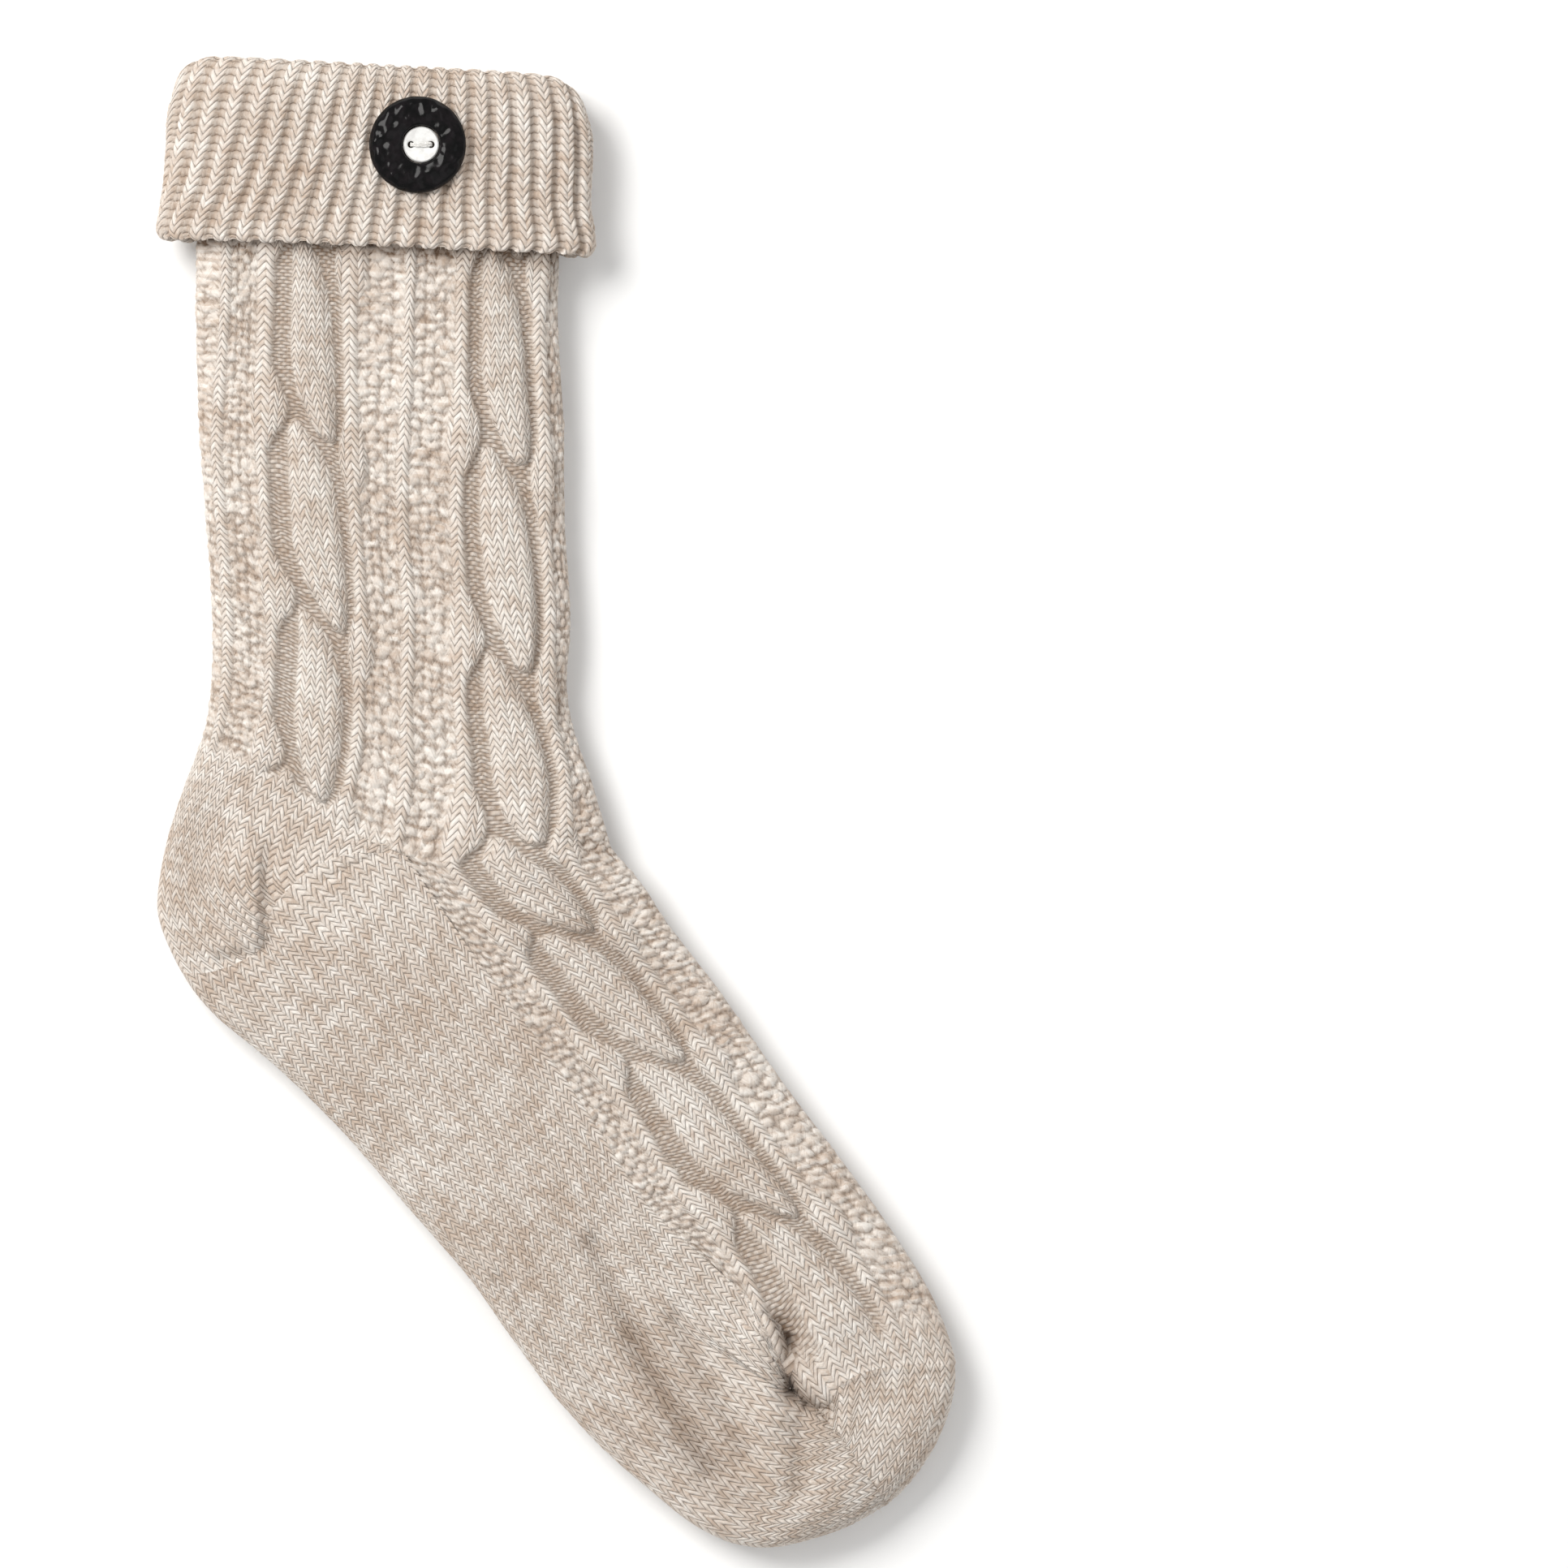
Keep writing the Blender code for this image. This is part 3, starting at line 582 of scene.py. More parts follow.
def chart(U, V):
    """Weights of knit, purl and moss, the broad relief in mm and the wale coordinate, over chart positions."""
    s = np.mod(U, REPEAT)
    phi = np.interp(V, LENS_STARTS, np.arange(len(LENS_STARTS)))
    phi = np.where(V < 0, V / 25.0, phi)
    f = phi - np.floor(phi)
    # side columns
    kb = bump_at(f + 0.10, 0.26)
    kc = bump_at(f - 0.10, 0.24)
    columns = ((0.0, 1.0, 0.0), (REPEAT + 0.0, REPEAT + 1.0, 0.0), (5 - 0.4 * kb, 6 + 2.0 * kb, kb), (14 - 0.9 * kc, 15 + 0.8 * kc, kc))
    knit = np.zeros_like(s)
    soft = np.zeros_like(s)
    rise = np.zeros_like(s)
    for lo, hi, swell in columns:
        knit = np.maximum(knit, soft_between(s, lo, hi))
        wide = soft_between(s, lo, hi, 0.8)
        soft = np.maximum(soft, wide)
        mid = np.clip((s - lo) / (hi - lo), 0, 1)
        rise = np.maximum(rise, wide * (0.30 + 0.65 * swell) * np.sin(math.pi * mid))
    # lens
    shift = np.zeros_like(s)
    base = np.floor(phi + 0.1)
    panel = (s >= 6) & (s < 14)
    for k in (0, -1):
        g = phi - (base + k)
        lo = np.interp(g, (-0.06, 0.0, 0.60, 0.80, 1.0, 1.06), (8.3, 8.0, 8.0, 8.8, 10.8, 12.0))
        hi = np.interp(g, (-0.06, 0.0, 0.1, 0.2, 0.35, 0.5, 0.85, 1.0, 1.06), (8.6, 9.8, 11.2, 11.9, 12.6, 13.0, 13.1, 12.9, 12.4))
        on = panel * smooth01((g + 0.06) / 0.05) * (1 - smooth01((g - 1.01) / 0.05))
        inside = soft_between(s, lo, hi) * on
        wide = soft_between(s, lo + 0.3, hi - 0.35, 1.7) * on
        w = np.clip((s - lo) / np.maximum(hi - lo, 0.2), 0, 1)
        d = np.sin(math.pi * w) ** 0.85 * np.clip((hi - lo) / 2.6, 0, 1)
        take = inside > 0.5
        shift = np.where(take, 0.4 * (lo - 8.0), shift)
        knit = np.maximum(knit, inside)
        soft = np.maximum(soft, wide)
        rise = np.maximum(rise, wide * (0.15 + 1.05 * d))
    moss_zone = ((s >= 1) & (s < 5)) | (s >= 15)
    moss = np.where(moss_zone, 1 - knit, 0)
    purl = np.where(moss_zone, 0, 1 - knit)
    ground = np.interp(s, (0, 5, 6, 14, 15, REPEAT), (-0.35, -0.35, -0.70, -0.70, -0.35, -0.35))
    relief = ground * (1 - soft) + 0.75 * soft + rise
    return knit, purl, moss, relief, U - shift * knit


def cable_relief(U, V):
    """Patterned knit. Returns height above the ground in mm, and what the wool's colour needs."""
    knit, purl, moss, relief, U2 = chart(U, V)
    peb, up = pebble(U, V)
    a, r = arm(U2, V), beads(U, V)
    h = 0.62 * a * knit + 0.26 * r * purl + 1.0 * peb * moss
    tone = knit * a + purl * r * 0.8 + moss * np.clip(peb * 0.90 + 0.06, 0, 1)
    return relief + h, tone, np.stack([knit, purl, moss], -1), U2


def plain_relief(U, V):
    """Stockinette of the heel, sole and toe."""
    a = arm(U, V)
    one = np.ones_like(a)
    return 0.08 + 0.42 * a, a, np.stack([one, 0 * one, 0 * one], -1), U


def normals(P, upper):
    du = np.gradient(P, axis=1)
    dv = np.gradient(P, axis=0)
    n = np.cross(du, dv)
    ln = np.linalg.norm(n, axis=-1, keepdims=True)
    n = np.where(ln > 1e-9, n / np.maximum(ln, 1e-9), np.array([0, 0, 1.0 if upper else -1.0]))
    flip = n[..., 2:3] < 0 if upper else n[..., 2:3] > 0
    n = np.where(flip, -n, n)
    for _ in range(2):   # even out the smallest wobbles
        m = n.copy()
        m[1:-1] = (n[:-2] + 2 * n[1:-1] + n[2:]) / 4
        m[:, 1:-1] = (m[:, :-2] + 2 * m[:, 1:-1] + m[:, 2:]) / 4
        n = m / np.maximum(np.linalg.norm(m, axis=-1, keepdims=True), 1e-9)
    return n


def raise_patch(XY, U, V, upper, kind, fade=None):
    """Lays stitches on the skin over a plan. Returns points, and per-point data for the wool's colour."""
    P, q = skin(XY, upper)
    n = normals(P, upper)
    # hand-worked yarn: wales and courses wander a little
    wob = soft_noise(U * 0.9, V * 0.5, 4.0) - 0.5
    V = V + 0.62 * (soft_noise(U * 1.0, V * 0.38, 3.0) - 0.5)
    U = U + 0.17 * wob * np.clip((U + 2) * 0.8, 0, 1) * np.clip((38 - U) * 0.8, 0, 1)
    h, tone, w, U2 = kind(U, V)
    h = h + 0.30 * (soft_noise(U * 0.55, V * 0.33, 6.0) - 0.5)
    h = h * (1 - 0.6 * smooth01((np.abs(q) - 0.92) / 0.07))
    if not upper:
        h = h * 0.8
    if fade is not None:
        h0, a0, w0, _ = plain_relief(U, V)
        h = h * (1 - fade) + (h0 + 0.05) * fade
        tone = tone * (1 - fade) + a0 * fade
        w = w * (1 - fade[..., None]) + w0 * fade[..., None]
        U2 = np.where(fade > 0.5, U, U2)
    # painted shade: colour darkened in the creases and furrows of the fold table, where shade falls
    shade = np.clip((-fold_height(XY[..., 0], XY[..., 1]) - 0.2) / 3.4, 0, 0.95)
    Pd = P + n * h[..., None]
    if not upper:
        Pd[..., 2] = np.maximum(Pd[..., 2], 0.05 + 0.25 * (1 - np.clip(tone, 0, 1)))
    return Pd, dict(U=U2, V=V, tone=tone, w=w, shade=shade)


# ---------------------------------------------------------------- mesh making
def to_frame(P):
    return (P - np.array([MIDDLE[0], MIDDLE[1], 0.0])) * MM


def grid_mesh(name, patches, material, node_names=(), body="root"):
    """One mesh of several grids. Each patch: points (R, C, 3), data, flip."""
    verts, faces, U, V, tone, w, shade, uvs = [], [], [], [], [], [], [], []
    base = 0
    n = len(patches)
    for k, (P, data, flip) in enumerate(patches):
        R, C = P.shape[:2]
        idx = np.arange(R * C).reshape(R, C) + base
        a, b, c, d = idx[:-1, :-1], idx[:-1, 1:], idx[1:, 1:], idx[1:, :-1]
        f = np.stack([a, d, c, b], -1) if not flip else np.stack([a, b, c, d], -1)
        f = f.reshape(-1, 4)
        v = P.reshape(-1, 3)
        area = np.linalg.norm(np.cross(v[f[:, 2] - base] - v[f[:, 0] - base], v[f[:, 3] - base] - v[f[:, 1] - base]), axis=1)
        faces.append(f[area > 1e-4])
        verts.append(to_frame(v))
        U.append(data["U"].ravel()); V.append(data["V"].ravel()); tone.append(data["tone"].ravel())
        w.append(data["w"].reshape(-1, 3))
        shade.append(data["shade"].ravel() if "shade" in data else np.zeros(R * C))
        gu = np.broadcast_to(np.linspace(0.01, 0.99, C)[None], (R, C))
        gv = np.broadcast_to(((k + np.linspace(0.02, 0.98, R)) / n)[:, None], (R, C))
        uvs.append(np.stack([gu, gv], -1).reshape(-1, 2))
        base += R * C
    verts = np.concatenate(verts)
    faces = np.concatenate(faces)
    me = bpy.data.meshes.new(name)
    me.vertices.add(len(verts))
    me.vertices.foreach_set("co", verts.astype(np.float32).ravel())
    me.loops.add(len(faces) * 4)
    me.loops.foreach_set("vertex_index", faces.astype(np.int32).ravel())
    me.polygons.add(len(faces))
    me.polygons.foreach_set("loop_start", np.arange(0, len(faces) * 4, 4, dtype=np.int32))
    me.polygons.foreach_set("use_smooth", np.ones(len(faces), bool))
    me.update(calc_edges=True)
    me.validate(clean_customdata=False)
    st = np.stack([np.concatenate(U), np.concatenate(V), np.concatenate(tone)], -1)
    at = me.attributes.new("st", "FLOAT_VECTOR", "POINT")
    at.data.foreach_set("vector", st.astype(np.float32).ravel())
    ww = np.concatenate(w)
    # the alpha carries the painted shade of creases and under the hem, 1 where there is none
    col = np.concatenate([ww, 1 - np.concatenate(shade)[:, None]], 1)
    kind = me.attributes.new("kind", "FLOAT_COLOR", "POINT")
    kind.data.foreach_set("color", col.astype(np.float32).ravel())
    layer = me.uv_layers.new(name="OFBake")
    uv = np.concatenate(uvs)
    li = np.empty(len(me.loops), np.int32)
    me.loops.foreach_get("vertex_index", li)
    layer.uv.foreach_set("vector", uv[li].astype(np.float32).ravel())
    me.materials.append(material)
    ob = bpy.data.objects.new(name, me)
    bpy.context.scene.collection.objects.link(ob)
    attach(ob, body)
    return ob


# ---------------------------------------------------------------- materials
class Nodes:
    def __init__(self, name):
        self.mat = bpy.data.materials.new(name)
        self.mat.use_nodes = True
        self.t = self.mat.node_tree
        self.bsdf = self.t.nodes["Principled BSDF"]

    def new(self, kind, **props):
        n = self.t.nodes.new(kind)
        for k, v in props.items():
            setattr(n, k, v)
        return n

    def put(self, socket, value):
        if isinstance(value, bpy.types.NodeSocket):
            self.t.links.new(value, socket)
        else:
            socket.default_value = value

    def m(self, op, a, b=None, c=None, clamp=False):
        n = self.new("ShaderNodeMath", operation=op, use_clamp=clamp)
        for i, v in enumerate((a, b, c)):
            if v is not None:
                self.put(n.inputs[i], v)
        return n.outputs[0]

    def mix(self, f, a, b, blend="MIX"):
        n = self.new("ShaderNodeMix", data_type="RGBA", blend_type=blend)
        self.put(n.inputs[0], f)
        self.put(n.inputs[6], a)
        self.put(n.inputs[7], b)
        return n.outputs[2]

    def xyz(self, x, y, z=0.0):
        n = self.new("ShaderNodeCombineXYZ")
        for i, v in enumerate((x, y, z)):
            self.put(n.inputs[i], v)
        return n.outputs[0]

    def noise(self, vec, scale, detail=2.0, rough=0.5, dim="3D"):
        n = self.new("ShaderNodeTexNoise", noise_dimensions=dim)
        self.put(n.inputs["Vector"], vec)
        self.put(n.inputs["Scale"], scale)
        self.put(n.inputs["Detail"], detail)
        self.put(n.inputs["Roughness"], rough)
        return n.outputs["Fac"]

    def white(self, vec):
        n = self.new("ShaderNodeTexWhiteNoise", noise_dimensions="3D")
        self.put(n.inputs["Vector"], vec)
        return n.outputs["Value"]

    def ramp(self, f, lo, hi, clamp=True):
        n = self.new("ShaderNodeMapRange")
        n.clamp = clamp
        n.interpolation_type = "SMOOTHSTEP"
        self.put(n.inputs["Value"], f)
        n.inputs["From Min"].default_value = lo
        n.inputs["From Max"].default_value = hi
        return n.outputs["Result"]


CREAM = (0.85, 0.80, 0.74, 1)
BEIGE = (0.55, 0.44, 0.355, 1)
BROWN = (0.33, 0.24, 0.175, 1)
# painted shade colour: the dark brown laid where shade falls between strands, in creases and under the cuff hem
GROOVE_SHADE = (0.19, 0.12, 0.075, 1)


def wool_material(name, marl=0.5, steep=STEEP, ladder=False):
    """Heather wool: each stitch arm drawn from its wale and course position, marled cream and beige, twisted plies,
    with painted shade in the grooves, creases and purl channels.
    """
    k = Nodes(name)
    st = k.new("ShaderNodeAttribute", attribute_name="st")
    sep = k.new("ShaderNodeSeparateXYZ")
    k.put(sep.inputs[0], st.outputs["Vector"])
    u, v, tone = sep.outputs
    kind = k.new("ShaderNodeAttribute", attribute_name="kind")
    ks = k.new("ShaderNodeSeparateColor")
    k.put(ks.inputs[0], kind.outputs["Color"])
    wk, wp, wm = ks.outputs[0], ks.outputs[1], ks.outputs[2]
    fl = k.m("FLOOR", u)
    fu = k.m("SUBTRACT", u, fl)
    half = k.m("SUBTRACT", fu, 0.5)
    side = k.m("GREATER_THAN", half, 0.0)
    t = k.m("MULTIPLY", k.m("ABSOLUTE", half), 2.0)
    p = k.m("SUBTRACT", v, k.m("MULTIPLY", t, steep))
    fp = k.m("FLOOR", p)
    q = k.m("SUBTRACT", p, fp)
    # arm cross-section
    c = k.m("SUBTRACT", k.m("MULTIPLY", q, 2.0), 1.0)
    prof = k.m("SQRT", k.m("MAXIMUM", k.m("SUBTRACT", 1.0, k.m("MULTIPLY", c, c)), 0.0))
    env = k.m("SUBTRACT", 1.0, k.m("MULTIPLY", k.m("POWER", t, 5.0), 0.5))
    env = k.m("SUBTRACT", env, k.m("MULTIPLY", k.m("POWER", k.m("SUBTRACT", 1.0, t), 4.0), 0.42))
    armh = k.m("MULTIPLY", prof, env)
    # purl: bars of the ribs, or staggered rows of small loops
    if ladder:
        wave = k.m("COSINE", k.m("MULTIPLY", u, 2 * math.pi))
        p2 = k.m("ADD", v, k.m("MULTIPLY", wave, WAVE))
        fp2 = k.m("FLOOR", p2)
        ends = k.m("ADD", 0.78, k.m("MULTIPLY", wave, 0.22))
    else:
        p2 = k.m("MULTIPLY", v, 2.0)
        fp2 = k.m("FLOOR", p2)
        stagger = k.m("ADD", u, k.m("MULTIPLY", k.m("FLOORED_MODULO", fp2, 2.0), 0.5))
        ends = k.m("ADD", 0.62, k.m("MULTIPLY", k.m("COSINE", k.m("MULTIPLY", stagger, 2 * math.pi)), 0.38))
    c2 = k.m("SUBTRACT", k.m("MULTIPLY", k.m("SUBTRACT", p2, fp2), 2.0), 1.0)
    barh = k.m("SQRT", k.m("MAXIMUM", k.m("SUBTRACT", 1.0, k.m("MULTIPLY", c2, c2)), 0.0))
    barh = k.m("MULTIPLY", barh, ends)
    # strand numbers
    sid = k.xyz(k.m("ADD", k.m("MULTIPLY", fl, 2.0), side), fp, 3.0)
    bid = k.xyz(k.m("FLOOR", k.m("ADD", u, 0.5)), fp2, 11.0)
    rs, rb = k.white(sid), k.white(bid)
    rnd = k.m("ADD", k.m("MULTIPLY", rs, wk), k.m("MULTIPLY", rb, k.m("SUBTRACT", 1.0, wk)))
    # marled yarn: cream and beige stretches of it, a few stitches long
    run = k.noise(k.xyz(k.m("MULTIPLY", u, 0.30), k.m("MULTIPLY", v, 0.80), 1.7), 1.0, 3.0, 0.62)
    run2 = k.noise(k.xyz(k.m("MULTIPLY", u, 0.75), k.m("MULTIPLY", v, 0.55), 8.3), 1.0, 2.0, 0.5)
    wide = k.noise(k.xyz(k.m("MULTIPLY", u, 0.09), k.m("MULTIPLY", v, 0.07), 4.1), 1.0, 2.0, 0.5)
    # fibres along the arm
    along = k.m("MULTIPLY", t, k.m("SUBTRACT", k.m("MULTIPLY", side, 2.0), 1.0))
    fibre = k.noise(k.xyz(k.m("ADD", k.m("MULTIPLY", along, 1.6), k.m("MULTIPLY", rs, 37.0)),
                          k.m("MULTIPLY", p, 7.0), k.m("MULTIPLY", fl, 1.3)), 1.0, 3.0, 0.65)
    geo = k.new("ShaderNodeTexCoord")
    hair = k.noise(geo.outputs["Object"], 2600.0, 3.0, 0.7)
    mott = k.noise(geo.outputs["Object"], 900.0, 2.0, 0.6)
    ply = k.m("SINE", k.m("ADD", k.m("MULTIPLY", t, 9.0), k.m("MULTIPLY", q, 7.5)))
    # colour
    f1 = k.m("ADD", k.m("MULTIPLY", k.m("SUBTRACT", run, 0.5), 1.1), k.m("MULTIPLY", k.m("SUBTRACT", run2, 0.5), 0.7))
    f1 = k.m("ADD", f1, k.m("MULTIPLY", k.m("SUBTRACT", rnd, 0.5), 0.52))
    f1 = k.m("ADD", f1, k.m("MULTIPLY", k.m("SUBTRACT", fibre, 0.5), 1.3))
    f1 = k.m("ADD", f1, k.m("MULTIPLY", k.m("SUBTRACT", mott, 0.5), 0.8))
    f1 = k.m("ADD", f1, k.m("MULTIPLY", k.m("SUBTRACT", wide, 0.5), 1.1))
    f1 = k.m("ADD", f1, marl, clamp=True)
    col = k.mix(f1, CREAM, BEIGE)
    deep = k.ramp(k.m("ADD", k.m("MULTIPLY", hair, 0.6), k.m("MULTIPLY", fibre, 0.4)), 0.56, 0.75)
    col = k.mix(k.m("MULTIPLY", deep, 0.35), col, BROWN)
    peb = k.m("ADD", k.m("MULTIPLY", tone, 0.74), k.m("MULTIPLY", armh, 0.26))
    hgt = k.m("ADD", k.m("MULTIPLY", armh, wk), k.m("MULTIPLY", barh, wp))
    hgt = k.m("ADD", hgt, k.m("MULTIPLY", peb, wm))
    # painted shade: low places between arms, bars and pearls are darkened towards the groove shade colour
    uneven = k.m("ADD", hgt, k.m("MULTIPLY", k.m("SUBTRACT", hair, 0.5), 0.5))
    low = k.m("SUBTRACT", 1.0, k.ramp(uneven, 0.0, 0.66))
    low = k.m("MULTIPLY", low, k.m("ADD", 0.70, k.m("MULTIPLY", wp, 0.12)), clamp=True)
    # painted shade of creases, furrows and under the cuff hem, mixed towards the groove shade colour
    painted_shade = k.m("SUBTRACT", 1.0, kind.outputs["Alpha"])
    low = k.m("ADD", low, k.m("MULTIPLY", painted_shade, 0.48), clamp=True)
    col = k.mix(low, col, GROOVE_SHADE)
    # painted shade: the recessed purl ground and rib channels are mixed towards brown
    col = k.mix(k.m("MULTIPLY", wp, 0.36 if ladder else 0.34), col, BROWN)
    k.put(k.bsdf.inputs["Base Color"], col)
    k.put(k.bsdf.inputs["Roughness"], k.m("ADD", 0.78, k.m("MULTIPLY", hair, 0.22)))
    k.bsdf.inputs["Specular IOR Level"].default_value = 0.15
    k.bsdf.inputs["Sheen Weight"].default_value = 0.12
    k.bsdf.inputs["Sheen Roughness"].default_value = 0.5
    k.bsdf.inputs["Sheen Tint"].default_value = (1.0, 0.98, 0.95, 1)
    # bump, in mm
    h = k.m("MULTIPLY", hgt, 0.48)
    h = k.m("ADD", h, k.m("MULTIPLY", k.m("MULTIPLY", ply, prof), k.m("MULTIPLY", wk, 0.035)))
    h = k.m("ADD", h, k.m("MULTIPLY", fibre, 0.13))
    h = k.m("ADD", h, k.m("MULTIPLY", hair, 0.15))
    b = k.new("ShaderNodeBump")
    b.inputs["Strength"].default_value = 1.0
    b.inputs["Distance"].default_value = 0.001
    k.put(b.inputs["Height"], h)
    k.put(k.bsdf.inputs["Normal"], b.outputs[0])
    return k.mat


def button_black_material():
    k = Nodes("button_gloss")
    co = k.new("ShaderNodeTexCoord").outputs["Object"]
    cloud = k.noise(co, 420.0, 3.0, 0.6)
    col = k.mix(k.ramp(cloud, 0.35, 0.7), (0.003, 0.003, 0.003, 1), (0.009, 0.007, 0.008, 1))
    k.put(k.bsdf.inputs["Base Color"], col)
    k.put(k.bsdf.inputs["Roughness"], k.m("ADD", 0.10, k.m("MULTIPLY", k.noise(co, 700.0, 2.0, 0.6), 0.10)))
    k.bsdf.inputs["Specular IOR Level"].default_value = 0.13
    h = k.m("ADD", k.m("MULTIPLY", k.noise(co, 260.0, 1.0, 0.4), 1.0), k.m("MULTIPLY", k.noise(co, 900.0, 1.0, 0.4), 0.05))
    b = k.new("ShaderNodeBump")
    b.inputs["Strength"].default_value = 0.35
    b.inputs["Distance"].default_value = 0.0006
    k.put(b.inputs["Height"], h)
    k.put(k.bsdf.inputs["Normal"], b.outputs[0])
    return k.mat


def button_white_material():
    k = Nodes("button_pearl")
    co = k.new("ShaderNodeTexCoord").outputs["Object"]
    cloud = k.noise(co, 500.0, 3.0, 0.6)
    col = k.mix(k.ramp(cloud, 0.35, 0.7), (0.80, 0.80, 0.78, 1), (0.66, 0.65, 0.63, 1))
    k.put(k.bsdf.inputs["Base Color"], col)
    k.put(k.bsdf.inputs["Roughness"], k.m("ADD", 0.22, k.m("MULTIPLY", k.noise(co, 1800.0, 2.0, 0.6), 0.2)))
    k.bsdf.inputs["Coat Weight"].default_value = 0.3
    k.bsdf.inputs["Coat Roughness"].default_value = 0.15
    b = k.new("ShaderNodeBump")
    b.inputs["Strength"].default_value = 0.3
    b.inputs["Distance"].default_value = 0.0003
    k.put(b.inputs["Height"], k.noise(co, 700.0, 3.0, 0.6))
    k.put(k.bsdf.inputs["Normal"], b.outputs[0])
    return k.mat


def thread_material():
    k = Nodes("sewing_thread")
    co = k.new("ShaderNodeTexCoord").outputs["Object"]
    f = k.noise(co, 5200.0, 3.0, 0.6)
    col = k.mix(k.ramp(f, 0.35, 0.68), (0.88, 0.87, 0.84, 1), (0.60, 0.58, 0.55, 1))
    k.put(k.bsdf.inputs["Base Color"], col)
    k.put(k.bsdf.inputs["Roughness"], k.m("ADD", 0.6, k.m("MULTIPLY", f, 0.3)))
    b = k.new("ShaderNodeBump")
    b.inputs["Strength"].default_value = 0.6
    b.inputs["Distance"].default_value = 0.0001
    k.put(b.inputs["Height"], f)
    k.put(k.bsdf.inputs["Normal"], b.outputs[0])
    return k.mat


def floor_material():
    k = Nodes("studio_floor")
    co = k.new("ShaderNodeTexCoord").outputs["Object"]
    f = k.noise(co, 30.0, 4.0, 0.6)
    k.put(k.bsdf.inputs["Base Color"], k.mix(f, (0.90, 0.90, 0.895, 1), (0.93, 0.93, 0.925, 1)))
    k.put(k.bsdf.inputs["Roughness"], k.m("ADD", 0.75, k.m("MULTIPLY", f, 0.2)))
    k.bsdf.inputs["Specular IOR Level"].default_value = 0.1
    return k.mat


